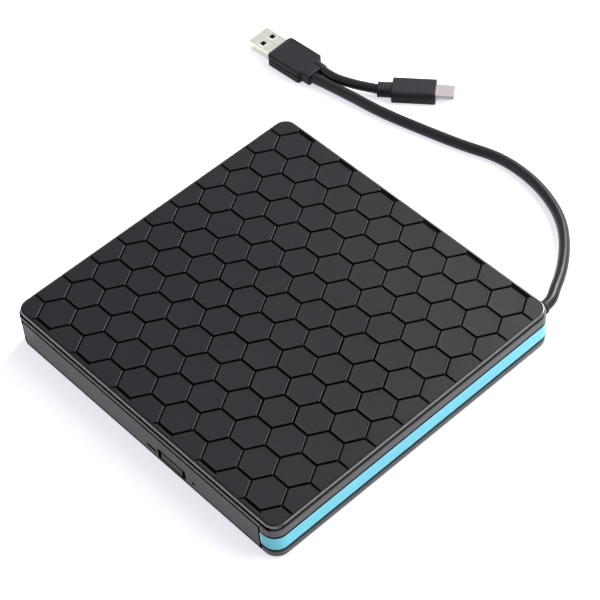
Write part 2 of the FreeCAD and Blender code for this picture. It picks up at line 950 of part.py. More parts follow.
def ejector_pin():
    y = ejector_y0 - ejector_tip_reach
    tip = along_y(ejector_x, y, ejector_z, ejector_tip_radius, ejector_tip_length)
    stem = along_y(ejector_x, y + ejector_tip_length, ejector_z, ejector_stem_radius, ejector_stem_length)
    return join([tip, stem])


def ejector_spring():
    """The spring round the pin's stem, kept as a sleeve inside its bore."""
    y = ejector_y0 - ejector_tip_reach + ejector_tip_length
    sleeve = along_y(ejector_x, y, ejector_z, spring_outer_radius, spring_length)
    return sleeve.cut(along_y(ejector_x, y, ejector_z, spring_inner_radius, spring_length))


# The tray and what rides on it

def placed(shape):
    """A shape drawn along the optical block's own line, turned to its place."""
    copy = shape.copy()
    copy.rotate(vec(0, 0, 0), UP, 180.0 + block_angle)
    copy.translate(vec(0, disc_centre_y, 0))
    return copy


def inner_room(z0, z1):
    """The space inside the tray's skirts that the optical block may use."""
    return block(-frame_clear_x, frame_clear_x, -frame_clear_y, tray_back_y, z0, z1)


def tray_window():
    pane = rounded(-cover_back, cover_reach, -cover_half, cover_half, tray_opening_corner, 0, case_height)
    slot = block(0, slot_end, -slot_half, slot_half, 0, case_height)
    return placed(join([pane, slot]))


def tray():
    plate = rounded(-tray_half, tray_half, tray_front_y, tray_back_y, tray_corner, tray_floor_z, tray_top_z)
    recess_radius = disc_radius + disc_gap
    disc_recess = disc(0, disc_centre_y, recess_radius, recess_z, case_height)
    small = disc(0, disc_centre_y, small_disc_radius + small_disc_gap,
                 recess_z - small_disc_step, case_height)
    pocket = block(-tray_half + tray_wall, tray_half - tray_wall, tray_front_y + tray_front_wall,
                   tray_back_y - tray_wall, tray_floor_z - over, tray_top_z - tray_wall)
    pocket = pocket.cut(disc(0, disc_centre_y, recess_radius + tray_wall, 0, case_height))
    body = join([less(plate, [disc_recess, small, pocket])] + tray_underside())
    return less(body, tray_holes())


def tray_underside():
    """The skirts, runners, posts and pads under the tray's floor."""
    top = tray_floor_z + skirt_bury
    parts = []
    for side in (-1, 1):
        x0, x1 = sorted((side * skirt_inner, side * skirt_outer))
        parts.append(block(x0, x1, tray_front_y, tray_back_y - skirt_back_gap, skirt_low_z, top))
        x0, x1 = sorted((side * (skirt_outer - bury), side * tongue_outer))
        parts.append(block(x0, x1, drive_front_y + runner_front_gap, back_inner_y - runner_back_gap,
                           guide_mid_z - tongue_thickness / 2, guide_mid_z + tongue_thickness / 2))
    parts.append(block(-skirt_outer, skirt_outer, tray_front_y, tray_front_y + skirt_wall, skirt_low_z, top))
    pad_y = ejector_y0 - ejector_tip_reach - ejector_pad_gap
    parts.append(block(ejector_x - ejector_half_width, ejector_x + ejector_half_width,
                       pad_y - ejector_pad_thickness, pad_y, guide_low_z + ejector_pad_rise, top))
    for x in front_post_x:
        parts.append(disc(x, front_post_y, front_post_radius, front_board_z + board_thickness, top))
    return parts


def tray_holes():
    """Room for the optical block, the button, the light, the release pin and the fixings."""
    y0 = tray_front_y - over
    low = skirt_low_z - over
    room = button_width / 2 + button_flange + button_room_gap
    cuts = [tray_window()]
    cuts.append(block(button_x - room, button_x + room, y0, tray_front_y + button_room_depth,
                      low, button_top_z + button_room_top))
    room = window_width / 2 + light_room_gap
    cuts.append(block(window_x - room, window_x + room, y0, tray_front_y + light_room_depth,
                      low, button_z + light_room_top))
    cuts.append(along_y(pinhole_x, y0, pinhole_z, pinhole_radius + pinhole_room, skirt_wall + 2 * over))
    for u, v in damper_places:
        cuts.append(placed(disc(u, v, damper_screw_radius, 0, tray_floor_z + damper_screw_depth)))
    cuts.append(disc(latch_x, latch_y, latch_pin_radius, 0, tray_floor_z + latch_pin_bury))
    return cuts


def front_edges(solid):
    """The edges that lie wholly in the plane of the drive's front."""
    return [edge for edge in solid.Edges if abs(edge.BoundBox.YMin - front_y) < 1e-4
            and abs(edge.BoundBox.YMax - front_y) < 1e-4]


def light_bar(y0, y1):
    """The status light's window, as a bar along Y."""
    return rounded_face_block(window_x, button_z - window_drop, window_width, window_height,
                              window_corner, y0, y1)


def bezel():
    plate = block(bezel_x0, bezel_x1, front_y, bezel_back_y, bezel_low_z, bezel_top_z)
    plate = plate.makeFillet(bezel_round, front_edges(plate))
    y0 = front_y - over
    y1 = bezel_back_y + over
    hole = rounded_face_block(button_x, button_z, button_width, button_height, button_corner, y0, y1)
    pin = along_y(pinhole_x, y0, pinhole_z, pinhole_radius, y1 - y0)
    return less(plate, [hole, light_bar(y0, y1), pin])


def rounded_face_block(x, z, width, height, radius, y0, y1):
    """A bar along Y with a rounded rectangle for its section."""
    bar = block(x - width / 2, x + width / 2, y0, y1, z - height / 2, z + height / 2)
    along = [edge for edge in bar.Edges if abs(edge.tangentAt(edge.FirstParameter).y) > 0.9]
    return bar.makeFillet(radius, along)


def eject_button():
    cap = rounded_face_block(button_x, button_z, button_width - 2 * button_gap,
                             button_height - 2 * button_gap, button_cap_corner,
                             front_y, bezel_back_y + fit_gap + button_gap)
    cap = cap.makeFillet(button_round, front_edges(cap))
    x = button_width / 2 + button_flange
    y = bezel_back_y + fit_gap
    flange = block(button_x - x, button_x + x, y, y + button_flange_depth,
                   skirt_low_z + button_low_gap, button_top_z - button_top_gap)
    stem = block(button_x - stem_half_width, button_x + stem_half_width, y, stem_tip_y,
                 stem_low_z, stem_high_z)
    return join([cap, flange, stem])


def led_lens():
    return light_bar(front_y + light_pipe_recess, tray_front_y + light_pipe_reach)


def front_board():
    return block(*front_board_x, tray_front_y + front_board_start, tray_front_y + front_board_end,
                 front_board_z, front_board_z + board_thickness)


def eject_switch():
    z = front_board_z + board_thickness
    y = stem_tip_y + button_travel + fit_gap
    body = block(button_x - switch_half_width, button_x + switch_half_width,
                 y + switch_tip_length, y + switch_tip_length + switch_length, z, z + switch_height)
    tip = along_y(button_x, y, (stem_low_z + stem_high_z) / 2, switch_tip_radius,
                  switch_tip_length + fit_gap)
    return join([body, tip])


def front_light():
    z = front_board_z + board_thickness
    return block(window_x - light_half_width, window_x + light_half_width,
                 tray_front_y + light_start, tray_front_y + light_end, z, z + light_height)


def traverse_frame():
    """The cast frame under the tray that carries spindle, rods and feed motor."""
    body = block(-frame_back, frame_reach, -frame_left, frame_right, frame_low_z, frame_top_z)
    ears = [disc(u, v, ear_radius, frame_low_z, frame_top_z) for u, v in damper_places]
    body = join([body] + ears)
    body = placed(body).common(inner_room(frame_low_z, frame_top_z))
    u0 = lens_start - sled_back - sled_gap
    u1 = lens_start + feed_travel + sled_front + sled_gap
    v = sled_half + sled_gap
    path = [(u0, -v), (u1 - sled_corner, -v), (u1, -v + sled_corner),
            (u1, v - sled_corner), (u1 - sled_corner, v), (u0, v)]
    cuts = [polygon(path, 0, case_height)]
    cuts.append(block(stepper_front - fit_gap, lead_screw_end, screw_v - lead_screw_slot, -v + over,
                      0, case_height))
    cuts.append(block(-stepper_back, stepper_front, screw_v - stepper_half,
                      screw_v + stepper_half, 0, case_height))
    cuts.append(disc(0, 0, motor_hole, 0, case_height))
    for side in (-1, 1):
        cuts.append(along_u(rod_start, rod_end, side * rod_v, rod_radius))
    tip_end = lead_screw_end + lead_screw_tip_length + lead_screw_tip_room
    cuts.append(along_u(lead_screw_end - over, tip_end, screw_v, lead_screw_tip_radius + running_gap))
    for u, v in damper_places:
        cuts.append(disc(u, v, damper_radius, 0, case_height))
        cuts.append(disc(u, v, damper_flange_radius, 0, frame_low_z + damper_flange_thickness))
    return less(body, [placed(cut) for cut in cuts])


def along_u(u0, u1, v, radius):
    """A round bar along the optical block's line at the rods' height."""
    return Part.makeCylinder(radius, u1 - u0, vec(u0, v, rod_z), vec(1, 0, 0))


def traverse_cover():
    half = cover_half - cover_gap
    plate = rounded(-cover_back + cover_gap, cover_reach - cover_gap, -half, half,
                    tray_opening_corner - cover_gap, cover_z, cover_z + cover_sheet)
    half = slot_half - cover_slot_gap
    slot = block(0, cover_reach + over, -half, half, 0, case_height)
    hole = disc(0, 0, motor_hole + cover_hole_gap, 0, case_height)
    legs = [disc(u, v, cover_leg_radius, frame_top_z, cover_z) for u, v in cover_leg_places]
    return placed(join([less(plate, [slot, hole])] + legs))


def dampers():
    rings = []
    for u, v in damper_places:
        spool = join([disc(u, v, damper_flange_radius, frame_top_z, tray_floor_z),
                      disc(u, v, damper_radius, frame_low_z, frame_top_z),
                      disc(u, v, damper_flange_radius, frame_low_z,
                           frame_low_z + damper_flange_thickness)])
        rings.append(placed(spool.cut(disc(u, v, damper_screw_radius, 0, case_height))))
    return group(rings)


def damper_screws():
    screws = []
    for u, v in damper_places:
        head = disc(u, v, damper_screw_head_radius, frame_low_z - damper_screw_head, frame_low_z)
        shank = disc(u, v, damper_screw_radius, frame_low_z, tray_floor_z + damper_screw_depth - fit_gap)
        screws.append(placed(join([head, shank])))
    return group(screws)


def guide_rods():
    return group([placed(along_u(rod_start, rod_end, side * rod_v, rod_radius)) for side in (-1, 1)])


def stepper_motor():
    body = block(-stepper_back, stepper_front - stepper_end_gap, screw_v - stepper_half,
                 screw_v + stepper_half, stepper_low_z, stepper_top_z)
    bore_start = stepper_front - lead_screw_bury - bury
    return placed(body.cut(along_u(bore_start, stepper_front, screw_v, lead_screw_tip_radius + running_gap)))


def lead_screw():
    parts = [along_u(stepper_front - lead_screw_bury, lead_screw_end + lead_screw_tip_length, screw_v,
                     lead_screw_tip_radius),
             along_u(stepper_front - lead_screw_shoulder, lead_screw_end - lead_screw_end_gap, screw_v,
                     lead_screw_core)]
    u = stepper_front
    while u < lead_screw_end - thread_end_gap:
        parts.append(along_u(u, u + lead_screw_pitch / 4, screw_v, lead_screw_radius))
        u += lead_screw_pitch / 2
    return placed(join(parts))


def optical_sled():
    u0 = lens_start - sled_back
    u1 = lens_start + sled_front
    v = sled_half
    plan = [(u0, -v), (u1 - sled_corner, -v), (u1, -v + sled_corner), (u1, v - sled_corner),
            (u1 - sled_corner, v), (u0, v)]
    body = polygon(plan, frame_low_z, frame_top_z)
    arm = block(u0, u0 + nut_length, screw_v + lead_screw_radius + nut_gap, -v + bury,
                rod_z - lead_screw_radius, rod_z + lead_screw_radius)
    half = holder_half - well_inset
    well = block(lens_start - half, lens_start + half, -half, half, frame_top_z - well_depth, case_height)
    body = join([body, arm]).cut(well)
    bores = [along_u(u0 - over, u1 + over, side * rod_v, rod_radius + running_gap) for side in (-1, 1)]
    return placed(less(body, bores))


def lens_holder():
    h = holder_half
    frame = rounded(lens_start - h, lens_start + h, -h, h, holder_corner, holder_low_z, holder_top_z)
    return placed(frame.cut(disc(lens_start, 0, lens_radius, 0, case_height)))


def objective_lens():
    base = disc(lens_start, 0, lens_radius, holder_low_z, holder_top_z)
    ball = Part.makeSphere(lens_dome_radius, vec(lens_start, 0, lens_top_z - lens_dome_radius))
    dome = ball.common(disc(lens_start, 0, lens_radius, holder_top_z - fit_gap / 2, case_height))
    return placed(join([base, dome]))


def motor_base():
    """The motor's plate, screwed under the frame, with its bearing tube."""
    plate = rounded(*motor_plate_sides, motor_plate_round, motor_plate_z, frame_low_z)
    tube = disc(0, 0, bearing_radius, motor_plate_z, rotor_top_z - bearing_top_gap)
    bore = disc(0, 0, shaft_radius + bearing_slip, motor_plate_z + bearing_floor, case_height)
    return placed(join([plate, tube]).cut(bore))


def stator():
    core = ring(0, 0, stator_core_radius, bearing_radius, stator_low_z, stator_top_z)
    teeth = []
    for k in range(stator_teeth):
        tooth = block(tooth_root, stator_radius, -tooth_half_width, tooth_half_width,
                      stator_low_z, stator_top_z)
        tooth.rotate(vec(0, 0, 0), UP, 360.0 / stator_teeth * k)
        teeth.append(tooth)
    seat = ring(0, 0, bearing_radius + stator_seat_wall, bearing_radius, frame_low_z, stator_low_z)
    return placed(join([core, seat] + teeth))


def spindle_shaft():
    return placed(disc(0, 0, shaft_radius, motor_plate_z + shaft_rise, rotor_top_z))


def rotor_cup():
    wall = ring(0, 0, rotor_radius, rotor_radius - rotor_wall, rotor_low_z, rotor_top_z)
    top = ring(0, 0, rotor_radius, shaft_radius, rotor_top_z - rotor_wall, rotor_top_z)
    return placed(join([wall, top]))


def turntable():
    """The disc's seat and centring cone, on top of the rotor."""
    table = ring(0, 0, rotor_radius, shaft_radius, rotor_top_z, seat_z)
    hub = disc(0, 0, hub_radius, rotor_top_z, hub_top_z)
    hub = hub.makeChamfer(hub_chamfer, flat_edges(hub, hub_top_z))
    body = join([table, hub])
    body = body.cut(disc(0, 0, shaft_radius, 0, rotor_top_z + 0.01))
    pockets = [catch_ball(k, catch_clearance) for k in range(3)]
    return placed(less(body, pockets))


def catch_ball(k, gap=0.0):
    reach = hub_radius - catch_radius + catch_proud
    angle = math.radians(120.0 * k)
    z = hub_top_z - hub_chamfer - catch_radius
    return Part.makeSphere(catch_radius + gap, vec(reach * math.cos(angle), reach * math.sin(angle), z))


def disc_catches():
    return group([placed(catch_ball(k)) for k in range(3)])


def turntable_pad():
    return placed(ring(0, 0, rotor_radius - pad_inset, seat_inner, seat_z, seat_z + seat_pad))


def latch_lever():
    """The hook that holds the tray shut, drawn hooked and then swung free."""
    z0 = latch_low_z
    z1 = z0 + latch_thickness
    half = latch_arm / 2
    hook_y = post_y + post_radius + hook_gap
    tab_y0 = hook_y + tab_start
    tab_y1 = tab_y0 + tab_width
    tab_x0 = pinhole_x - tab_before_pinhole
    hub = disc(latch_x, latch_y, latch_hub_radius, z0, z1)
    arm = block(latch_x - half, latch_x + half, hook_y, latch_y, z0, z1)
    hook = block(latch_x, post_x + hook_past_post, hook_y, hook_y + hook_depth, z0, z1)
    tab = block(tab_x0, latch_x, tab_y0, tab_y1, z0, z1)
    tab_end = block(tab_x0, pinhole_x + tab_past_pinhole, tab_y0, tab_y1, z0, pinhole_z + tab_rise)
    lever = join([hub, arm, hook, tab, tab_end])
    lever = lever.cut(disc(latch_x, latch_y, latch_pin_radius + running_gap, 0, case_height))
    lever.rotate(vec(latch_x, latch_y, 0), UP, -latch_swing)
    return lever


def latch_pivot():
    low = latch_low_z - latch_slip
    pin = disc(latch_x, latch_y, latch_pin_radius, low, tray_floor_z + latch_pin_bury)
    head = disc(latch_x, latch_y, latch_head_radius, low - latch_head_height, low)
    collar = ring(latch_x, latch_y, latch_head_radius, latch_pin_radius,
                  latch_low_z + latch_thickness + latch_slip, tray_floor_z)
    return join([pin, head, collar])


def latch_magnet():
    """The small magnet that lets the hook go, hung under the tray's floor."""
    parts = []
    for sides, z0, z1 in ((magnet_coil, skirt_low_z, tray_floor_z),
                          (magnet_pole, magnet_pole_low_z, magnet_pole_top_z)):
        x0, x1, y0, y1 = sides
        parts.append(block(latch_x + x0, latch_x + x1, latch_y + y0, latch_y + y1, z0, z1))
    return join(parts)


# The lead

def cord_wire(points, diameter, name):
    """Straight runs joined by tangent arcs, as large as the runs allow."""
    spots = [vec(*point) for point in points]
    edges = []
    start = spots[0]
    radii = []
    for number, (before, here, after) in enumerate(zip(spots, spots[1:], spots[2:])):
        inward = (here - before).normalize()
        outward = (after - here).normalize()
        turn = inward.getAngle(outward)
        share_in = 0.9 if number == 0 else 0.45
        share_out = 0.9 if number == len(spots) - 3 else 0.45
        reach = min(share_in * (here - before).Length, share_out * (after - here).Length)
        radii.append(reach / math.tan(turn / 2))
        first = here - inward * reach
        last = here + outward * reach
        bisector = (outward - inward).normalize()
        centre = here + bisector * (radii[-1] / math.cos(turn / 2))
        middle = centre + (here - centre).normalize() * radii[-1]
        edges.append(Part.LineSegment(start, first).toShape())
        edges.append(Part.Arc(first, middle, last).toShape())
        start = last
    edges.append(Part.LineSegment(start, spots[-1]).toShape())
    print(name, "radii in diameters:", [round(radius / diameter, 1) for radius in radii])
    return Part.Wire(edges)


def cord(points, diameter, name):
    path = cord_wire(points, diameter, name)
    start = vec(*points[0])
    heading = vec(*points[1]) - start
    section = Part.Wire(Part.Circle(start, heading, diameter / 2).toShape())
    tube = path.makePipeShell([section], True, False)
    expected = math.pi * diameter ** 2 / 4 * path.Length
    print(name, "length", round(path.Length, 1), "volume ratio", round(tube.Volume / expected, 4))
    return Part.Solid(tube.Shells[0])


def cable_gland():
    """The tapered grommet that the lead leaves the case through, bent a little by the lead."""
    neck = along_y(exit_x, gland_inner_y, exit_z, gland_radius, exit_y - gland_inner_y)
    stop = along_y(exit_x, gland_inner_y - gland_flange_depth, exit_z, gland_stop, gland_flange_depth)
    flange = along_y(exit_x, exit_y, exit_z, gland_flange, gland_flange_depth)
    tilt = math.radians(gland_tilt)
    along = vec(-math.sin(tilt), math.cos(tilt), 0)
    root = vec(exit_x, exit_y + gland_flange_depth, exit_z)
    wide = gland_flange - gland_step
    taper = Part.makeCone(wide, gland_tip, gland_taper, root, along)
    outside = block(exit_x - 2 * wide, exit_x + 2 * wide, exit_y + gland_step, exit_y + 3 * wide,
                    0, case_height)
    knuckle = Part.makeSphere(wide, root).common(outside)
    return join([neck, stop, flange, knuckle, taper])


def inner_lead():
    """The lead's last stretch inside the case, down to the bridge board."""
    y = gland_inner_y - gland_flange_depth
    z = bridge_board_z + board_thickness + inner_lead_diameter / 2
    route = [(exit_x, y, exit_z), (exit_x, y - 4.0, exit_z), (exit_x - 3.0, y - 7.4, exit_z - 0.8),
             (exit_x - 7.6, y - 8.6, z + 0.5), (bridge_x1 - 3.0, y - 8.4, z)]
    return cord(route, inner_lead_diameter, "inner_lead")


def main_cord():
    return cord(cord_route, cord_diameter, "main_cord")


def branch_cord():
    return cord(branch_route, branch_diameter, "branch_cord")


def turned(shape, place, angle):
    """A plug drawn along +X from the origin, turned and set at its place."""
    copy = shape.copy()
    copy.rotate(vec(0, 0, 0), UP, angle)
    copy.translate(vec(place[0], place[1], 0))
    return copy


def shell_tube(x0, x1, width, height, mid_z, radius):
    """A drawn metal sleeve along X."""
    outer = sleeve_bar(x0, x1, width, height, mid_z, radius)
    room = sleeve_bar(x0 - over, x1 - metal, width - 2 * metal, height - 2 * metal, mid_z,
                      max(radius - metal, 0.1))
    return outer.cut(room)


def sleeve_bar(x0, x1, width, height, mid_z, radius):
    bar = block(x0, x1, -width / 2, width / 2, mid_z - height / 2, mid_z + height / 2)
    along = [edge for edge in bar.Edges if abs(edge.tangentAt(edge.FirstParameter).x) > 0.9]
    return bar.makeFillet(radius, along)


def usb_a_shell():
    mid = plug_a_body_height / 2
    sleeve = shell_tube(0, plug_a_shell_length + shell_bury, plug_a_shell_width,
                        plug_a_shell_height, mid, plug_a_shell_corner)
    windows = []
    for side in (-1, 1):
        y = side * plug_a_window_y
        windows.append(block(plug_a_window_start, plug_a_window_end, y - plug_a_window_half,
                             y + plug_a_window_half, 0, plug_a_body_height))
    return turned(less(sleeve, windows), plug_a_mouth, plug_a_turn)


def usb_a_tongue():
    low = plug_a_body_height / 2 - plug_a_shell_height / 2 + metal
    half = plug_a_shell_width / 2 - plug_a_tongue_side_gap
    tongue = block(plug_a_tongue_start, plug_a_shell_length, -half, half,
                   low, low + plug_a_tongue_thickness)
    return turned(tongue, plug_a_mouth, plug_a_turn)


def usb_a_body():
    """The larger plug's moulded body, with the block that both leads leave."""
    x0 = plug_a_shell_length
    x1 = x0 + plug_a_body_length
    half = plug_a_body_width / 2
    top = plug_a_body_height
    front = plug_a_front_corner
    back = plug_a_back_corner
    plan = [(x0, -half + front), (x0 + front, -half), (x1 - back, -half), (x1, -half + back),
            (x1, half - back), (x1 - back, half), (x0 + front, half), (x0, half - front)]
    body = polygon(plan, 0, top)
    body = body.makeChamfer(plug_a_edge_chamfer, flat_edges(body, top) + flat_edges(body, 0))
    groove_top = top - plug_a_groove_drop
    grooves = []
    for side in (-1, 1):
        y0, y1 = sorted((side * (half - plug_a_groove_depth), side * (half + over)))
        grooves.append(block(x0 + plug_a_groove_inset, x1 - plug_a_groove_inset, y0, y1,
                             groove_top - plug_a_groove_height, groove_top))
    body = less(body, grooves)
    y0 = plug_a_block_shift - plug_a_block_width / 2
    neck = rounded(x1 - 2 * over, x1 + plug_a_block_length, y0, y0 + plug_a_block_width,
                   plug_a_block_corner, plug_a_block_low_z, plug_a_block_low_z + plug_a_block_height)
    collar = Part.makeCylinder(collar_radius, collar_length + over,
                               vec(x1 - over, collar_shift, collar_z), vec(1, 0, 0))
    body = join([body, neck, collar])
    pocket = sleeve_bar(x0 - over, x0 + shell_bury, plug_a_shell_width, plug_a_shell_height, top / 2,
                        plug_a_shell_corner)
    return turned(body.cut(pocket), plug_a_mouth, plug_a_turn)


def usb_c_body():
    mid = plug_c_body_height / 2
    x0 = plug_c_neck_length
    x1 = x0 + plug_c_body_length
    body = sleeve_bar(x0, x1, plug_c_body_width, plug_c_body_height, mid, plug_c_body_corner)
    ends = [edge for edge in body.Edges if edge.BoundBox.XLength < 1e-4]
    body = body.makeFillet(plug_c_end_round, ends)
    neck = sleeve_bar(0, x0 + over, plug_c_neck_width, plug_c_neck_height, mid, plug_c_neck_corner)
    room = sleeve_bar(x1 - shell_bury, x1 + over, plug_c_shell_width, plug_c_shell_height, mid,
                      plug_c_shell_corner)
    return turned(join([body, neck]).cut(room), plug_c_neck_start, plug_c_turn)


def usb_c_shell():
    mid = plug_c_body_height / 2
    x1 = plug_c_neck_length + plug_c_body_length
    mouth = shell_tube(-plug_c_shell_length, shell_bury, plug_c_shell_width, plug_c_shell_height, mid,
                       plug_c_shell_corner)
    mouth.rotate(vec(0, 0, mid), UP, 180.0)
    mouth.translate(vec(x1, 0, 0))
    return turned(mouth, plug_c_neck_start, plug_c_turn)


def usb_c_tongue():
    """The ring of contacts inside the smaller plug's shell."""
    mid = plug_c_body_height / 2
    x1 = plug_c_neck_length + plug_c_body_length
    width = plug_c_shell_width - 2 * metal
    height = plug_c_shell_height - 2 * metal
    liner = sleeve_bar(x1 - shell_bury + metal, x1 + plug_c_liner_length, width, height, mid,
                       plug_c_liner_corner)
    room = sleeve_bar(x1 + plug_c_room_start, x1 + plug_c_liner_length + over,
                      width - 2 * plug_c_liner_wall, height - 2 * plug_c_liner_roof, mid,
                      plug_c_room_corner)
    return turned(liner.cut(room), plug_c_neck_start, plug_c_turn)


def plug_tongues():
    """The moulded carriers of the contacts, one inside each plug's shell."""
    return group([usb_a_tongue(), usb_c_tongue()])


def save(name, shape):
    shape = pieces_of(shape)
    if not shape.isValid():
        print("not valid:", name)
    shape.exportStep("parts/" + name + ".step")
    print(name, len(shape.Solids), "solids", round(shape.Volume, 1), "mm3")


NODES = {
    "top_panel": top_panel,
    "upper_housing": upper_housing,
    "trim_band": trim_band,
    "lower_housing": lower_housing,
    "feet": feet,
    "housing_screws": housing_screws,
    "foam_pads": foam_pads,
    "drive_base": drive_base,
    "drive_cover": drive_cover,
    "cover_screws": cover_screws,
    "rail_guide_left": lambda: rail_guide(-1),
    "rail_guide_right": lambda: rail_guide(1),
    "slide_rail_left": lambda: slide_rail(-1),
    "slide_rail_right": lambda: slide_rail(1),
    "striker_post": striker_post,
    "drive_board": drive_board,
    "board_components": board_components,
    "sata_plug": sata_plug,
    "sata_socket": sata_socket,
    "bridge_board": bridge_board,
    "flex_ribbon": flex_ribbon,
    "ejector_holder": ejector_holder,
    "ejector_pin": ejector_pin,
    "ejector_spring": ejector_spring,
    "tray": tray,
    "bezel": bezel,
    "eject_button": eject_button,
    "led_lens": led_lens,
    "front_board": front_board,
    "eject_switch": eject_switch,
    "front_light": front_light,
    "traverse_frame": traverse_frame,
    "traverse_cover": traverse_cover,
    "dampers": dampers,
    "damper_screws": damper_screws,
    "guide_rods": guide_rods,
    "stepper_motor": stepper_motor,
    "lead_screw": lead_screw,
    "optical_sled": optical_sled,
    "lens_holder": lens_holder,
    "objective_lens": objective_lens,
    "motor_base": motor_base,
    "stator": stator,
    "spindle_shaft": spindle_shaft,
    "rotor_cup": rotor_cup,
    "turntable": turntable,
    "turntable_pad": turntable_pad,
    "disc_catches": disc_catches,
    "latch_lever": latch_lever,
    "latch_pivot": latch_pivot,
    "latch_magnet": latch_magnet,
    "cable_gland": cable_gland,
    "inner_lead": inner_lead,
    "main_cord": main_cord,
    "branch_cord": branch_cord,
    "usb_a_shell": usb_a_shell,
    "usb_a_body": usb_a_body,
    "plug_tongues": plug_tongues,
    "usb_c_shell": usb_c_shell,
    "usb_c_body": usb_c_body,
}

os.makedirs("parts", exist_ok=True)
for node_name, make in NODES.items():
    save(node_name, make())
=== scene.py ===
# %% [markdown]
# # A slim disc drive with a honeycomb top
# This lesson dresses a disc drive for a picture. Its solids already exist at their real size, in metres,
# with the tray opening towards -Y. We load them as a fixed frame, put softer and finer pieces over the ones
# that the eye meets first, and give every surface a finish made of nodes.
# %% Load the frame
import math

import bmesh
import bpy
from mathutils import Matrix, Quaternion, Vector


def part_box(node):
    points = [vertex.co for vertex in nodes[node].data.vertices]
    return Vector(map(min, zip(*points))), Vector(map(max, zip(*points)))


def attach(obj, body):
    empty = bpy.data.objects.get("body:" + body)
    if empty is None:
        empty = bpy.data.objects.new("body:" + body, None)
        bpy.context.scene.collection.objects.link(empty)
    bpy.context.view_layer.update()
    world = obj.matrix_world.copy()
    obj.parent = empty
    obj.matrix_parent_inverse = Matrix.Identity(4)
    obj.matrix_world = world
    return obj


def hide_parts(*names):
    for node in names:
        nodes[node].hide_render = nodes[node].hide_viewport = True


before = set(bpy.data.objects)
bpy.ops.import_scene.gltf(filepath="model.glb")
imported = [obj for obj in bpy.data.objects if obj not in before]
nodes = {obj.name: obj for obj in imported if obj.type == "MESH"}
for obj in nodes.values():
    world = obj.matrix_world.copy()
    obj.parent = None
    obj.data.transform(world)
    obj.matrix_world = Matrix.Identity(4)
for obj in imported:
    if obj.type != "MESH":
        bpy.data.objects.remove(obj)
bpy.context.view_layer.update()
MM = 0.001

# %% [markdown]
# ## The camera
# The photo looks down on the drive from its front right corner with a long lens, so that far edges shrink
# very little. A tracking quaternion points the camera at its target, and a turn about its own axis adds
# the slight tilt of the photo.
# %% Camera
camera_place = Vector((0.4301, -0.3396, 0.6708))
camera_target = Vector((-0.0105, 0.0190, 0.0))
camera_tilt = math.radians(-5.164)
camera_lens = 130.366
camera_sensor = 36.0

camera_data = bpy.data.cameras.new("camera")
camera_data.lens = camera_lens
camera_data.sensor_width = camera_sensor
camera = bpy.data.objects.new("camera", camera_data)
bpy.context.collection.objects.link(camera)
camera.location = camera_place
camera.rotation_mode = "QUATERNION"
gaze = (camera_target - camera_place).to_track_quat("-Z", "Y")
camera.rotation_quaternion = gaze @ Quaternion((0, 0, 1), camera_tilt)
bpy.context.scene.camera = camera
print("Camera", round((camera_target - camera_place).length, 2), "m from the drive")

# %% [markdown]
# ## The two leads
# A lead is a fixed length of something springy. It could be a swept mesh, but a NURBS curve with a round
# bevel is smoother: its control points pull the line without it ever kinking. The order is set after the
# points, because before that the curve doesn't have enough of them. The points carry the thickness, and the
# bevel depth is 1, so that the curve's own bounding box fits the lead.
# %% A helper for leads
def lead(name, route, diameter):
    """A round lead along control points given in millimetres."""
    curve = bpy.data.curves.new(name, "CURVE")
    curve.dimensions = "3D"
    curve.bevel_depth = 1.0
    curve.bevel_resolution = 7
    curve.use_fill_caps = True
    spline = curve.splines.new("NURBS")
    spline.points.add(len(route) - 1)
    for point, place in zip(spline.points, route):
        point.co = (*(value * MM for value in place), 1)
        point.radius = diameter / 2
    spline.order_u = 3
    spline.use_endpoint_u = True
    spline.resolution_u = 14
    piece = bpy.data.objects.new(name, curve)
    bpy.context.collection.objects.link(piece)
    return piece


# %% The long lead and its branch
cord_diameter = 0.0048
cord_route = [
    (67.3, 79.4, 8.85), (67.3, 83.3, 8.85), (64.0, 89.0, 8.5), (59.4, 97.8, 7.2),
    (51.4, 108.8, 5.4), (41.5, 118.9, 3.9), (29.5, 126.2, 2.9), (13.0, 131.0, 2.5),
    (-5.5, 131.0, 2.5), (-22.0, 124.9, 2.5), (-42.0, 119.6, 2.5), (-62.0, 114.6, 2.6),
    (-81.0, 112.2, 2.9), (-98.3, 108.2, 3.9),
]
branch_diameter = 0.0044
branch_route = [
    (-99.1, 114.4, 4.1), (-91.3, 114.2, 4.1), (-84.5, 116.8, 3.75), (-77.4, 120.3, 3.35),
    (-71.2, 124.0, 3.25),
]
long_lead = lead("long_lead", cord_route, cord_diameter)
short_lead = lead("short_lead", branch_route, branch_diameter)
for piece, node in ((long_lead, "main_cord"), (short_lead, "branch_cord")):
    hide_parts(node)
    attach(piece, "case")
print("Leads", len(cord_route), "and", len(branch_route), "control points")

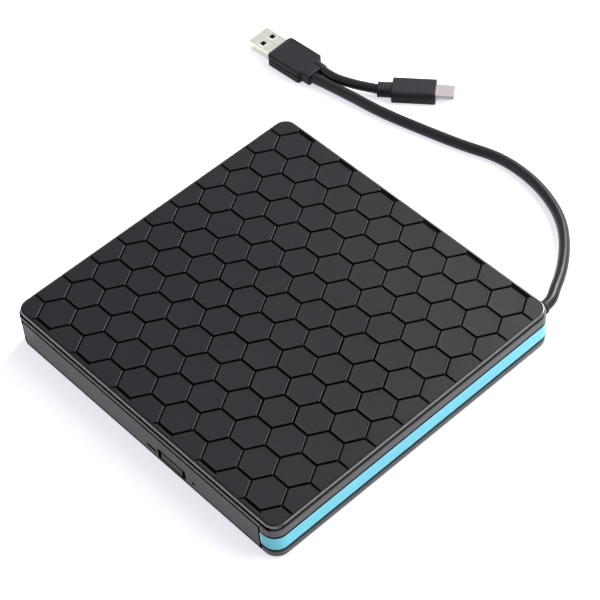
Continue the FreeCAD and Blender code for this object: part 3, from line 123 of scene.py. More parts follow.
# %% [markdown]
# ## Sums in a shader
# A finish is mostly arithmetic on a few noise patterns. Math nodes wired by hand hide that, so one small
# class wraps a socket and lets Python's own signs add the Math nodes. Everything else goes through one
# method that takes a node's type, its settings and what feeds it.
# %% The shader classes
class Amount:
    """A number that comes out of a node. Python's signs add Math nodes to it."""

    def __init__(self, finish, socket):
        self.finish = finish
        self.socket = socket

    def math(self, operation, *others):
        return self.finish.node("ShaderNodeMath", {"operation": operation}, self, *others)

    def __add__(self, other):
        return self.math("ADD", other)

    def __sub__(self, other):
        return self.math("SUBTRACT", other)

    def __mul__(self, other):
        return self.math("MULTIPLY", other)

    def __rsub__(self, other):
        return self.finish.node("ShaderNodeMath", {"operation": "SUBTRACT"}, other, self)

    __radd__ = __add__
    __rmul__ = __mul__

    def above(self, edge, blend):
        """0 below the edge and 1 above it, with a soft step between."""
        settings = {"interpolation_type": "SMOOTHSTEP", "clamp": True}
        return self.finish.node("ShaderNodeMapRange", settings, self, edge - blend / 2, edge + blend / 2)


class Finish:
    """A material whose nodes are added by name, with a Principled shader at its end."""

    def __init__(self, name, **constants):
        self.material = bpy.data.materials.new(name)
        self.material.use_nodes = True
        self.tree = self.material.node_tree
        self.shader = self.tree.nodes["Principled BSDF"]
        for socket, value in constants.items():
            self.set(socket.replace("_", " "), value)

    def node(self, kind, settings, *values, output=0, **named):
        made = self.tree.nodes.new(kind)
        for key, value in settings.items():
            setattr(made, key, value)
        filled = list(zip(made.inputs, values)) + [(made.inputs[key], named[key]) for key in named]
        for socket, value in filled:
            if isinstance(value, Amount):
                self.tree.links.new(value.socket, socket)
            elif value is not None:
                socket.default_value = value
        return Amount(self, made.outputs[output])

    def set(self, socket, value):
        """A constant is written on the shader's socket, and an Amount is linked to it."""
        if isinstance(value, Amount):
            self.tree.links.new(value.socket, self.shader.inputs[socket])
        else:
            self.shader.inputs[socket].default_value = value

    def places(self):
        return self.node("ShaderNodeTexCoord", {}, output="Object")

    def axis(self, letter):
        return self.node("ShaderNodeSeparateXYZ", {}, self.places(), output="XYZ".index(letter))

    def noise(self, size, detail=2.0, stretch=(1, 1, 1)):
        """Noise with features of about the given size in metres, from about 0.3 to 0.7."""
        scaled = self.node("ShaderNodeMapping", {}, self.places(), Scale=stretch)
        return self.node("ShaderNodeTexNoise", {}, Vector=scaled, Scale=1 / size, Detail=detail)

    def blend(self, factor, first, second):
        """A colour between two others."""
        settings = {"data_type": "RGBA", "clamp_factor": True}
        made = self.node("ShaderNodeMix", settings, factor, output=2)
        inputs = made.socket.node.inputs
        for socket, value in ((inputs[6], first), (inputs[7], second)):
            if isinstance(value, Amount):
                self.tree.links.new(value.socket, socket)
            else:
                socket.default_value = value
        return made

    def matt(self, mask, colour=(0.0002, 0.0002, 0.0003, 1)):
        """Lays a colour without any shine over the finish where a mask is 1."""
        output = self.tree.nodes["Material Output"]
        below = Amount(self, output.inputs["Surface"].links[0].from_socket)
        flat = {"Base Color": colour, "Roughness": 1.0, "Specular IOR Level": 0.0}
        over = self.node("ShaderNodeBsdfPrincipled", {}, **flat)
        mixed = self.node("ShaderNodeMixShader", {}, mask, below, over)
        self.tree.links.new(mixed.socket, output.inputs["Surface"])

    def relief(self, height, depth):
        """Bumps of the given depth in metres, where the height goes from 0 to 1."""
        self.set("Normal", self.node("ShaderNodeBump", {}, Strength=1.0, Distance=depth, Height=height))


def grey(level, tint=(0, 0, 0)):
    """A linear colour from a screen level of 0 to 255, with a small tint in the same levels."""
    return (*(((level + shift) / 255) ** 2.2 for shift in tint), 1)


def screen(red, green, blue):
    """A linear colour from screen levels of 0 to 255."""
    return (*((level / 255) ** 2.2 for level in (red, green, blue)), 1)


def dress(piece, finish):
    """Gives a piece one finish all over."""
    piece.data.materials.clear()
    piece.data.materials.append(finish.material)


print("Shader classes ready")

# %% [markdown]
# ## Moulded plastic
# The mould of a black case is etched, so its plastic is covered with a fine grain that breaks up the shine.
# Two noises make it: a fine one lifts the surface by about a hundredth of a millimetre, and a broad one
# lets the gloss wander a little, as it does where the plastic cooled unevenly.
# %% A maker of moulded plastics
def moulded(name, colour, lighter, roughness, grain=0.35 * MM, depth=0.012 * MM, wander=0.10, ior=1.42):
    """Etched plastic between two close colours."""
    finish = Finish(name, IOR=ior)
    fine = finish.noise(grain, detail=3.0)
    broad = finish.noise(28 * MM, detail=1.0)
    finish.set("Base Color", finish.blend((fine - 0.35) * 2.0 * 0.6 + broad * 0.4, colour, lighter))
    finish.set("Roughness", roughness + (broad - 0.5) * wander + (fine - 0.5) * wander)
    finish.relief(fine, depth)
    return finish


case_black = (screen(61, 60, 63), screen(69, 68, 71))
upper_plastic = moulded("upper_plastic", *case_black, 0.48)
lower_plastic = moulded("lower_plastic", *case_black, 0.48)
front_plastic = moulded("front_plastic", screen(44, 44, 47), screen(51, 51, 54), 0.42, grain=0.28 * MM)
button_plastic = moulded("button_plastic", screen(18, 18, 21), screen(25, 25, 28), 0.45, ior=1.36)
tray_plastic = moulded("tray_plastic", grey(34), grey(42), 0.55)
inner_plastic = moulded("inner_plastic", grey(28), grey(36), 0.6, depth=0.02 * MM)
plug_plastic = moulded("plug_plastic", screen(18, 18, 22), screen(26, 26, 30), 0.5, grain=0.3 * MM, ior=1.27)
tongue_plastic = moulded("tongue_plastic", grey(4), grey(8), 0.7)
hub_plastic = moulded("hub_plastic", grey(205, (2, 2, -6)), grey(216, (2, 2, -4)), 0.4, depth=0.006 * MM)
chip_plastic = moulded("chip_plastic", grey(24), grey(33), 0.5, grain=0.2 * MM)
print("Plastics made")

# %% [markdown]
# ## The honeycomb's own plastic
# The top panel is darker than the case. Its grooves look nearly black, because little light gets into them,
# so they are mostly covered with a matt black, a painted shade. The height of a point tells the grooves from
# the cells. How far a point is from the panel's rounded outline tells the rim, whose outer edge is shinier
# and which a fine line of painted shade parts from the cells. Along the front, painted shade makes that line
# a groove of its own nearer the edge, and the outermost strip gets a painted highlight. On the two far sides
# the rim curves away from the light, so its outermost part gets painted shade, with a fainter painted
# highlight just inside it. The foot of the panel's +X side gets painted shade too. The cells' edges that face
# the back right catch a thin line of light. A slightly paler colour stands for it here as a painted
# highlight, picked by the way that the surface faces, so it stays in its place from every side.
# %% Places on the panel
crisp = 0.05 * MM
narrow = 0.1 * MM
panel_low, panel_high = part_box("top_panel")
panel_middle = (panel_low + panel_high) / 2
cell_height = 0.4 * MM
groove_z = panel_high.z - cell_height
panel_corner = 5.7 * MM
rim = 1.3 * MM
front_step = 2.4 * MM

panel_plastic = Finish("panel_plastic", IOR=1.29, Coat_Roughness=0.16)
past_x = panel_plastic.axis("X").math("ABSOLUTE") - (panel_high.x - panel_corner)
past_y = (panel_plastic.axis("Y") - panel_middle.y).math("ABSOLUTE")
past_y = past_y - (panel_high.y - panel_middle.y - panel_corner)
past_x = past_x.math("MAXIMUM", 0.0)
past_y = past_y.math("MAXIMUM", 0.0)
from_edge = panel_corner - (past_x * past_x + past_y * past_y).math("SQRT")
across = panel_plastic.axis("X")
along = panel_plastic.axis("Y")
panel_z = panel_plastic.axis("Z")
at_front = 1.0 - along.above(panel_low.y + 2.4 * MM, 1.6 * MM)
behind = (along - across).above(5.0 * MM, 3.0 * MM)
print("Panel grooves lie below", round(groove_z / MM, 2), "mm")


# %% Cells, rim and their lines
def rim_stripe(start, stop, blend=narrow):
    """A mask of 1 between two distances from the panel's outline."""
    return from_edge.above(start, blend) * (1.0 - from_edge.above(stop, blend))


on_edge = 1.0 - from_edge.above(0.8 * MM, 0.3 * MM)
on_rim = 1.0 - from_edge.above(rim, crisp)
on_rim = on_rim.math("MAXIMUM", 1.0 - along.above(panel_low.y + front_step, crisp))
on_cells = panel_z.above(groove_z + 0.3 * cell_height, 0.2 * cell_height)
cell_edge = panel_z.above(panel_high.z - 0.26 * MM, 0.04 * MM) * (1.0 - on_rim)
cell_edge = cell_edge * (1.0 - panel_z.above(panel_high.z - 0.12 * MM, 0.04 * MM))
# Painted shade: a fine dark line between the rim and the cells.
on_cells = on_cells.math("MAXIMUM", on_rim) * (1.0 - 0.8 * rim_stripe(1.0 * MM, 1.25 * MM, crisp))
# Painted shade: a dark line near the front edge, on the far sides' outer edge and at the foot of the +X side.
front_line = 0.7 * at_front * rim_stripe(0.35 * MM, 0.8 * MM)
far_side = behind * (1.0 - from_edge.above(0.55 * MM, 0.2 * MM))
low_side = across.above(panel_high.x - 0.3 * MM, narrow)
low_side = low_side * (1.0 - panel_z.above(panel_low.z + 0.6 * MM, narrow))
unlit = front_line.math("MAXIMUM", far_side).math("MAXIMUM", low_side)
on_edge = on_edge * (1.0 - unlit)
# Painted highlight: a paler rim line inside the far sides' edge and along the front's outer edge.
rim_highlight_paint = 0.5 * behind * rim_stripe(0.6 * MM, 1.0 * MM)
rim_highlight_paint = rim_highlight_paint.math("MAXIMUM", at_front * (1.0 - from_edge.above(0.35 * MM, narrow)))
facing = panel_plastic.node("ShaderNodeTexCoord", {}, output="Normal")
lit_way = (0.61, 0.35, 0.71)
lit_side = panel_plastic.node("ShaderNodeVectorMath", {"operation": "DOT_PRODUCT"}, facing, lit_way,
                              output="Value")
lit_edge = lit_side.above(0.8, 0.1) * on_cells * (1.0 - on_rim)
print("Panel lines ready")

# %% The panel's finish
panel_fine = panel_plastic.noise(0.45 * MM, detail=3.0)
panel_broad = panel_plastic.noise(45 * MM, detail=1.0)
panel_colour = panel_plastic.blend((panel_fine - 0.35) * 2.0, screen(17, 17, 21), screen(25, 25, 29))
# Painted highlights: paler back-right cell edges and paler rim lines.
panel_colour = panel_plastic.blend(lit_edge, panel_colour, screen(92, 92, 96))
panel_colour = panel_plastic.blend(rim_highlight_paint, panel_colour, screen(104, 104, 108))
panel_plastic.set("Base Color", panel_colour)
panel_plastic.set("Roughness", 0.42 - 0.1 * on_edge + (panel_broad - 0.5) * 0.1)
panel_plastic.set("Coat Weight", on_edge.math("MAXIMUM", 0.8 * cell_edge))
panel_plastic.relief(panel_fine, 0.014 * MM)
# Painted shade: matt black in the grooves and on the unlit rim lines.
panel_plastic.matt((0.8 * (1.0 - on_cells)).math("MAXIMUM", unlit))
print("Panel finish made")

# %% [markdown]
# ## The blue band
# The band is coloured right through and has a finer grain than the case, so it looks smooth and satin.
# %% The band's finish
band_low, band_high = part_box("trim_band")
band_plastic = moulded("band_plastic", screen(93, 188, 208), screen(101, 194, 214), 0.4,
                       grain=0.25 * MM, depth=0.004 * MM, wander=0.06)
print("Band finish made")

# %% [markdown]
# ## Shadow lines
# Where mouldings meet, the photo has thin black lines: under the panel, along both edges of the band and
# round the tray's front. These seams are narrower than a pixel, so light that bounces out of them would wash
# them out. Each is a band of heights, or of places across, that is covered with a black that doesn't shine.
# %% Masks for the seams
front_low, front_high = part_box("bezel")
notch_roof = front_high.z + 0.3 * MM


def between(finish, letter, low, high, blend=crisp):
    """A mask of 1 between two places on an axis."""
    place = finish.axis(letter)
    return place.above(low, blend) * (1.0 - place.above(high, blend))


def near_front(finish, depth):
    """A mask of 1 close to the plane of the drive's front."""
    return 1.0 - finish.axis("Y").above(front_low.y + depth, narrow)


def at_notch(finish):
    """A mask of 1 on the case's walls beside and below the tray's front."""
    ends = (front_low.x - 0.62 * MM, front_high.x + 0.62 * MM)
    return near_front(finish, 3.0 * MM) * between(finish, "X", *ends)


print("Seam masks ready")

# %% The case's seams
# Painted shade: matt black under the panel's edge, just above the band and along the foot of the strip above
# the tray's front.
upper_plastic.matt(between(upper_plastic, "Z", 17.95 * MM, panel_low.z + 0.05 * MM))
upper_plastic.matt(between(upper_plastic, "Z", band_high.z, band_high.z + 0.75 * MM))
upper_plastic.matt(at_notch(upper_plastic) * between(upper_plastic, "Z", notch_roof - 0.1 * MM,
                                                     notch_roof + 0.6 * MM))
# Painted highlight: the strip of case above the tray's front gets a paler grey without shine.
front_strip = at_notch(upper_plastic) * near_front(upper_plastic, 0.6 * MM)
front_strip = front_strip * upper_plastic.axis("Z").above(notch_roof + 0.7 * MM, narrow)
upper_plastic.matt(front_strip, screen(126, 125, 128))
# Painted shade: the ledge under the panel's front and the case's walls beside the tray's front.
front_ledge = between(upper_plastic, "Y", front_low.y + 0.45 * MM, panel_low.y + 0.5 * MM)
upper_plastic.matt(front_ledge * upper_plastic.axis("Z").above(17.8 * MM, narrow))
upper_plastic.matt(at_notch(upper_plastic) * (1.0 - upper_plastic.axis("Z").above(notch_roof, crisp)))
# Painted shade: a dark line below the band and the lip under the tray's front.
lower_plastic.matt(0.7 * between(lower_plastic, "Z", band_low.z - 0.8 * MM, band_low.z))
lower_plastic.matt(at_notch(lower_plastic))
print("The case's seams are dark")

# %% The band's seams and edges
# Painted shade: a dark navy line along the band's top and bottom edges.
shadow_navy = screen(12, 44, 84)
band_plastic.matt(1.0 - between(band_plastic, "Z", band_low.z + 0.3 * MM, band_high.z - 0.35 * MM), shadow_navy)
# Painted highlights: paler lines just inside the band's bottom and top edges.
for low in (band_low.z + 0.3 * MM, band_high.z - 1.05 * MM):
    band_plastic.matt(0.5 * between(band_plastic, "Z", low, low + 0.7 * MM, 0.3 * MM), screen(138, 204, 219))
# Painted highlight: a pale line on the band's cut end beside the tray's front.
band_end_highlight = near_front(band_plastic, 1.5 * MM) * between(band_plastic, "X", front_high.x + 0.2 * MM,
                                                        front_high.x + 0.85 * MM)
band_end_highlight = band_end_highlight * between(band_plastic, "Z", band_low.z + 0.4 * MM, band_high.z - 0.4 * MM)
band_plastic.matt(band_end_highlight, screen(214, 240, 250))
print("The band's seams are dark")

# %% Seams round the front and its openings
# Painted shade: matt black along the tray front's top, bottom and ends.
front_inside = between(front_plastic, "Z", front_low.z + 0.6 * MM, front_high.z - 0.4 * MM, 0.2 * MM)
front_across = between(front_plastic, "X", front_low.x + 0.5 * MM, front_high.x - 0.5 * MM, narrow)
front_plastic.matt(1.0 - front_inside * front_across)

button_low, button_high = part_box("eject_button")
# Painted shade: the cap's outer rim is matt black.
cap_edge = 0.55 * MM
cap_middle = between(button_plastic, "X", button_low.x + cap_edge, button_high.x - cap_edge, 0.2 * MM)
cap_middle = cap_middle * between(button_plastic, "Z", button_low.z + cap_edge, button_high.z - cap_edge,
                                  0.2 * MM)
button_plastic.matt(1.0 - cap_middle)
pin_low = Vector((29.9, 0.0, 5.3)) * MM
pin_high = Vector((31.3, 0.0, 6.7)) * MM
# Painted shade: matt black round the button's opening, the light window and the pinhole.
for low, high, gap in ((button_low, button_high, 0.45 * MM), (*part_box("led_lens"), 0.25 * MM),
                       (pin_low, pin_high, 0.15 * MM)):
    opening = between(front_plastic, "X", low.x - gap, high.x + gap)
    front_plastic.matt(opening * between(front_plastic, "Z", low.z - gap, high.z + gap))
print("The front's seams are dark")

# %% [markdown]
# ## Rubber and foam
# Rubber feet, the dampers and the leads' jackets share one idea: a dull black surface whose relief is soft
# and irregular. Foam has open cells instead, so its bumps come from a Voronoi pattern.
# %% Rubbers, jackets and foam
def rubber(name, colour, lighter, roughness, depth, ior=1.48):
    finish = Finish(name, IOR=ior)
    mottle = finish.noise(1.2 * MM, detail=4.0)
    finish.set("Base Color", finish.blend(mottle, colour, lighter))
    finish.set("Roughness", roughness + (mottle - 0.5) * 0.2)
    finish.relief(mottle, depth)
    return finish


foot_rubber = rubber("foot_rubber", grey(26), grey(36), 0.8, 0.03 * MM)
jacket = rubber("jacket", screen(14, 14, 18), screen(21, 21, 25), 0.34, 0.01 * MM, ior=1.31)

foam = Finish("foam", Roughness=0.95)
foam_cells = foam.node("ShaderNodeTexVoronoi", {}, Vector=foam.places(), Scale=1 / (0.7 * MM))
foam.set("Base Color", foam.blend(foam_cells, grey(58), grey(92)))
foam.relief(foam_cells, 0.2 * MM)
print("Rubbers and foam made")

# %% [markdown]
# ## Metals
# Rolled sheet has faint lines along its rolling direction, cast metal is grainy, and ground rods are almost
# mirrors. One maker stretches a noise along the given axis and lets it stir the roughness.
# %% A maker of metals
def metal(name, colour, roughness, stretch=(1, 1, 1), size=0.8 * MM, depth=0.004 * MM, spread=0.25):
    finish = Finish(name, Metallic=1.0)
    lines = finish.noise(size, detail=3.0, stretch=stretch)
    darker = (*(0.8 * value for value in colour[:3]), 1)
    finish.set("Base Color", finish.blend(lines, darker, colour))
    finish.set("Roughness", roughness + (lines - 0.5) * spread)
    finish.relief(lines, depth)
    return finish


along_y = (1, 0.04, 1)
plated_sheet = metal("plated_sheet", screen(196, 198, 201), 0.36, stretch=along_y)
dark_steel = metal("dark_steel", screen(120, 121, 124), 0.35)
ground_steel = metal("ground_steel", screen(214, 215, 217), 0.16, spread=0.1)
cast_zinc = metal("cast_zinc", screen(150, 151, 153), 0.5, size=0.5 * MM, depth=0.02 * MM)
nickel = metal("nickel", screen(216, 216, 202), 0.27, stretch=(0.3, 1, 1), size=1.2 * MM, depth=0.001 * MM,
               spread=0.06)
rose_nickel = metal("rose_nickel", screen(174, 166, 169), 0.3, size=1.5 * MM, depth=0.001 * MM, spread=0.06)
copper = metal("copper", screen(190, 110, 66), 0.35, size=0.25 * MM, depth=0.05 * MM)
print("Metals made")

# %% [markdown]
# ## Boards, the flat cable, the light and the lens
# A circuit board is green lacquer over thin copper lines, which a Brick pattern's joints can stand for. The
# flat cable shows its conductors as stripes along Y. The lens is coated glass, so it looks violet from the
# side and has a hard clear shine.
# %% Small special finishes
board = Finish("board", Roughness=0.34, IOR=1.5)
lines = board.node("ShaderNodeTexBrick", {"offset": 0.37, "squash": 0.7}, Vector=board.places(),
                   Color1=(1, 1, 1, 1), Color2=(0.8, 0.8, 0.8, 1), Mortar=(0, 0, 0, 1), Scale=1.0,
                   **{"Mortar Size": 0.14 * MM, "Brick Width": 3.6 * MM, "Row Height": 1.1 * MM})
board.set("Base Color", board.blend(lines, screen(34, 104, 66), screen(18, 72, 44)))

ribbon = Finish("ribbon", Roughness=0.3, Coat_Weight=0.4)
stripe = ribbon.node("ShaderNodeTexWave", {"bands_direction": "X"}, ribbon.places(), Scale=180.0)
ribbon.set("Base Color", ribbon.blend(stripe, screen(150, 84, 26), screen(196, 128, 54)))

window = Finish("window", Roughness=0.8, IOR=1.15)
window_mottle = window.noise(2 * MM)
window.set("Base Color", window.blend(window_mottle, screen(6, 6, 8), screen(12, 12, 14)))

light_body = Finish("light_body", Roughness=0.3, IOR=1.49)
light_mottle = light_body.noise(1.5 * MM)
light_body.set("Base Color", light_body.blend(light_mottle, screen(196, 198, 200), screen(214, 216, 218)))

lens_glass = Finish("lens_glass", Roughness=0.05, IOR=1.6, Coat_Weight=1.0)
tint = lens_glass.node("ShaderNodeLayerWeight", {}, 0.4, output="Facing")
lens_glass.set("Base Color", lens_glass.blend(tint, screen(40, 34, 96), screen(96, 70, 150)))
print("Special finishes made")

# %% [markdown]
# ## Finishes for the solids that stay
# Most inner solids already have their true shape, so they only need a finish. A table from solid to finish
# keeps this in one place, and the loop proves that no solid is left out.
# %% Dress the solids
finishes = {
    upper_plastic: ("upper_housing",),
    lower_plastic: ("lower_housing",),
    panel_plastic: ("top_panel",),
    band_plastic: ("trim_band",),
    front_plastic: ("bezel",),
    button_plastic: ("eject_button",),
    tray_plastic: ("tray",),
    inner_plastic: ("optical_sled", "sata_plug", "sata_socket", "ejector_holder", "eject_switch",
                    "lens_holder", "latch_lever"),
    foot_rubber: ("feet", "dampers", "turntable_pad", "cable_gland"),
    foam: ("foam_pads",),
    dark_steel: ("housing_screws", "cover_screws", "damper_screws", "striker_post", "latch_pivot",
                 "ejector_pin", "ejector_spring", "traverse_cover"),
    plated_sheet: ("drive_base", "drive_cover", "rail_guide_left", "rail_guide_right", "slide_rail_left",
                   "slide_rail_right", "motor_base", "rotor_cup", "stepper_motor"),
    ground_steel: ("guide_rods", "lead_screw", "spindle_shaft", "disc_catches"),
    cast_zinc: ("traverse_frame",),
    copper: ("stator", "latch_magnet"),
    board: ("drive_board", "bridge_board", "front_board"),
    chip_plastic: ("board_components",),
    ribbon: ("flex_ribbon",),
    window: ("led_lens",),
    light_body: ("front_light",),
    lens_glass: ("objective_lens",),
    hub_plastic: ("turntable",),
    jacket: ("inner_lead", "main_cord", "branch_cord"),
    plug_plastic: ("usb_a_body", "usb_c_body"),
    nickel: ("usb_a_shell",),
    rose_nickel: ("usb_c_shell",),
    tongue_plastic: ("plug_tongues",),
}
for finish, names in finishes.items():
    for name in names:
        dress(nodes[name], finish)
dress(long_lead, jacket)
dress(short_lead, jacket)
missed = set(nodes) - {name for names in finishes.values() for name in names}
print("Solids without a finish:", sorted(missed))

# %% [markdown]
# ## Helpers for shaping by hand
# Blender's edit operators act on whatever is selected, and a fresh import leaves everything selected. So
# each step first selects nothing, then picks faces or edges by their place or direction, and only then
# calls the operator.
# %% Picking and shaping
def calm():
    """Leaves edit mode and selects nothing."""
    if bpy.context.mode != "OBJECT":
        bpy.ops.object.mode_set(mode="OBJECT")
    bpy.ops.object.select_all(action="DESELECT")


def work_on(piece):
    calm()
    piece.select_set(True)
    bpy.context.view_layer.objects.active = piece


def at(value, goal, slack=0.02 * MM):
    return abs(value - goal) < slack


def pick(piece, kind, test):
    """In edit mode, selects only the faces, edges or corners that pass a test."""
    if bpy.context.mode != "EDIT_MESH":
        bpy.ops.object.mode_set(mode="EDIT")
    bpy.ops.mesh.select_mode(type=kind)
    bpy.ops.mesh.select_all(action="DESELECT")
    mesh = bmesh.from_edit_mesh(piece.data)
    for item in {"FACE": mesh.faces, "EDGE": mesh.edges, "VERT": mesh.verts}[kind]:
        if test(item):
            item.select_set(True)
    mesh.select_flush_mode()
    bmesh.update_edit_mesh(piece.data)


def copy_of(node, name):
    """A copy of a solid's mesh with its corners merged and its flat triangles joined."""
    piece = bpy.data.objects.new(name, nodes[node].data.copy())
    bpy.context.collection.objects.link(piece)
    work_on(piece)
    bpy.ops.object.mode_set(mode="EDIT")
    bpy.ops.mesh.select_all(action="SELECT")
    bpy.ops.mesh.remove_doubles(threshold=0.002 * MM)
    bpy.ops.mesh.dissolve_limited(angle_limit=math.radians(0.5))
    calm()
    return piece


def even_out(piece):
    """Shades a piece smooth, with its flat faces left truly flat."""
    work_on(piece)
    bpy.ops.object.shade_smooth_by_angle(angle=math.radians(40))
    normals = piece.modifiers.new("even_normals", "WEIGHTED_NORMAL")
    normals.keep_sharp = True
    bpy.ops.object.modifier_apply(modifier=normals.name)


def soften(piece, width, segments=2, angle=35):
    """Rounds every sharp edge and applies the result."""
    work_on(piece)
    bevel = piece.modifiers.new("soft_edges", "BEVEL")
    bevel.width = width
    bevel.segments = segments
    bevel.limit_method = "ANGLE"
    bevel.angle_limit = math.radians(angle)
    bevel.miter_outer = "MITER_ARC"
    bpy.ops.object.modifier_apply(modifier=bevel.name)
    even_out(piece)


def stand_in(piece, node, body, finish):
    """Puts a finished piece in the place of a solid."""
    calm()
    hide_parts(node)
    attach(piece, body)
    dress(piece, finish)
    print(piece.name, "has", len(piece.data.polygons), "faces")


# %% [markdown]
# ## The honeycomb top
# The panel is one moulding: a thin plate with raised six-sided cells. Every cell catches a thin line of
# light along its edge, and its middle is very slightly dished. We copy the solid, inset each cell's top,
# sink what is inside by about a tenth of a millimetre, deepen the grooves and round all the edges a little.
# %% Sink the cells' middles and round their edges
border = 1.2 * MM
groove_deeper = 0.45 * MM
dish = -0.09 * MM
panel_edge = 0.26 * MM

honeycomb = copy_of("top_panel", "honeycomb")
cell_tops = [face for face in honeycomb.data.polygons if face.center.z > panel_high.z - 0.02 * MM
             and face.normal.z > 0.99 and len(face.vertices) == 6]
cell_area = max(face.area for face in cell_tops)
work_on(honeycomb)
pick(honeycomb, "FACE", lambda face: face.calc_center_median().z > panel_high.z - 0.02 * MM
     and face.normal.z > 0.99 and len(face.verts) == 6 and face.calc_area() > 0.9 * cell_area)
bpy.ops.mesh.inset(thickness=border, depth=dish, use_individual=True)
pick(honeycomb, "VERT", lambda vertex: at(vertex.co.z, groove_z) and abs(vertex.co.x) < panel_high.x - rim
     and panel_low.y + front_step < vertex.co.y < panel_high.y - rim)
bpy.ops.transform.translate(value=(0, 0, -groove_deeper))
calm()
print("Whole cells:", len(cell_tops))
soften(honeycomb, panel_edge, segments=1)
stand_in(honeycomb, "top_panel", "case", panel_plastic)

# %% [markdown]
# ## Softer edges on the case's visible trim
# Mouldings never have a truly sharp edge, and a rounded one catches a line of light that tells the eye how
# big the part is. The tray's front, its button, its light window and the blue band keep the solid's shape, so
# we copy the solids and round their edges. The tray's front also gets a little shorter and lower, because
# the gap that it runs in has to read as a black line.
# %% Tray front, button, window and band
front_gap = 0.22 * MM


def draw_in(piece):
    """Moves the front's two ends and its top inwards."""
    work_on(piece)
    for side, end in ((1, front_low.x), (-1, front_high.x)):
        pick(piece, "VERT", lambda vertex: at(vertex.co.x, end))
        bpy.ops.transform.translate(value=(side * front_gap, 0, 0))
    pick(piece, "VERT", lambda vertex: at(vertex.co.z, front_high.z))
    bpy.ops.transform.translate(value=(0, 0, -front_gap))
    calm()


for name, node, body, slot, finish, edge in (
        ("tray_front", "bezel", "tray_unit", "bezel_black", front_plastic, 0.3 * MM),
        ("button_cap", "eject_button", "button", "bezel_black", button_plastic, 0.2 * MM),
        ("light_window", "led_lens", "tray_unit", "light_white", window, 0.1 * MM),
        ("side_band", "trim_band", "case", "band_blue", band_plastic, 0.18 * MM)):
    trim = copy_of(node, name)
    if node == "bezel":
        draw_in(trim)
    soften(trim, edge)
    stand_in(trim, node, body, finish)

# %% [markdown]
# ## Starts for hand-made pieces
# Three starts are enough for the plugs, the grommet and the foam: a box between two corners, a round piece
# that grows step by step like turned work, and a way to lay a piece made along +Z or +X in its own direction.
# Edit-mode moves act on the selection, and a turn or a resize gets its centre in writing, because there is no
# window whose pivot setting could be asked.
# %% Box, turned piece and placing
def box_piece(name, low, high):
    """A box between two corners in metres, left in edit mode with nothing selected."""
    calm()
    bpy.ops.mesh.primitive_cube_add(size=1, location=(0, 0, 0))
    piece = bpy.context.object
    piece.name = name
    bpy.ops.object.mode_set(mode="EDIT")
    bpy.ops.mesh.select_all(action="SELECT")
    size = [b - a for a, b in zip(low, high)]
    bpy.ops.transform.resize(value=size, center_override=(0, 0, 0))
    bpy.ops.transform.translate(value=[(a + b) / 2 for a, b in zip(low, high)])
    bpy.ops.mesh.select_all(action="DESELECT")
    return piece


def turned_piece(name, steps, sides=40):
    """A round piece along +Z, from steps of height and radius in metres."""
    calm()
    height, radius = steps[0]
    bpy.ops.mesh.primitive_circle_add(vertices=sides, radius=radius, fill_type="NGON", location=(0, 0, 0))
    piece = bpy.context.object
    piece.name = name
    bpy.ops.object.mode_set(mode="EDIT")
    bpy.ops.mesh.select_all(action="SELECT")
    bpy.ops.transform.translate(value=(0, 0, height))
    for next_height, next_radius in steps[1:]:
        rise = {"value": (0, 0, next_height - height)}
        bpy.ops.mesh.extrude_region_move(TRANSFORM_OT_translate=rise)
        growth = next_radius / radius
        bpy.ops.transform.resize(value=(growth, growth, 1), center_override=(0, 0, next_height))
        height, radius = next_height, next_radius
    bpy.ops.mesh.select_all(action="SELECT")
    bpy.ops.mesh.normals_make_consistent(inside=False)
    calm()
    return piece


def lay(piece, place, direction, axis):
    """Points a piece's axis along a direction, moves it to its place and writes both into its mesh."""
    work_on(piece)
    piece.rotation_mode = "QUATERNION"
    piece.rotation_quaternion = axis.rotation_difference(Vector(direction))
    piece.location = place
    bpy.ops.object.transform_apply(location=True, rotation=True, scale=True)


def join(pieces):
    """Makes the first piece hold all of them."""
    calm()
    for piece in pieces:
        piece.select_set(True)
    bpy.context.view_layer.objects.active = pieces[0]
    bpy.ops.object.join()
    return pieces[0]


def runs_along(edge, axis):
    """Whether an edge is parallel to X, Y or Z, given as 0, 1 or 2."""
    a, b = (vertex.co for vertex in edge.verts)
    return all(at(a[other], b[other]) for other in range(3) if other != axis)


print("Starts ready")

# %% [markdown]
# ## The large plug's body
# The plug is a flat box with chamfered corners. Its top has a fine step just inside its edge, a groove runs
# round its sides, and behind it sits a lower block that the lead leaves, with a short collar for the branch.
# A box is bevelled edge by edge, cut level by level with bisect, and the ring between two cuts is pushed in.
# %% Large plug's body
large_place = (-134.2 * MM, 109.3 * MM, 0)
large_turn = math.radians(3.2)
large_direction = (math.cos(large_turn), math.sin(large_turn), 0)
along_plug = Vector((1, 0, 0))
body_start = 12.9 * MM
body_end = 32.4 * MM
body_half = 7.8 * MM
body_top = 7.2 * MM

plug_body = box_piece("large_plug_body", (body_start, -body_half, 0), (body_end, body_half, body_top))
for end, corner in ((body_start, 1.2 * MM), (body_end, 1.0 * MM)):
    pick(plug_body, "EDGE", lambda edge: runs_along(edge, 2) and at(edge.verts[0].co.x, end))
    bpy.ops.mesh.bevel(offset=corner, segments=1, affect="EDGES")
for level in (0, body_top):
    pick(plug_body, "EDGE", lambda edge: all(at(vertex.co.z, level) for vertex in edge.verts))
    bpy.ops.mesh.bevel(offset=0.9 * MM, segments=1, affect="EDGES")
groove_low = body_top - 3.1 * MM
groove_high = body_top - 2.4 * MM
for level in (groove_low, groove_high):
    bpy.ops.mesh.select_all(action="SELECT")
    bpy.ops.mesh.bisect(plane_co=(0, 0, level), plane_no=(0, 0, 1))
pick(plug_body, "FACE", lambda face: groove_low < face.calc_center_median().z < groove_high)
bpy.ops.mesh.inset(thickness=0.08 * MM, depth=-0.35 * MM)
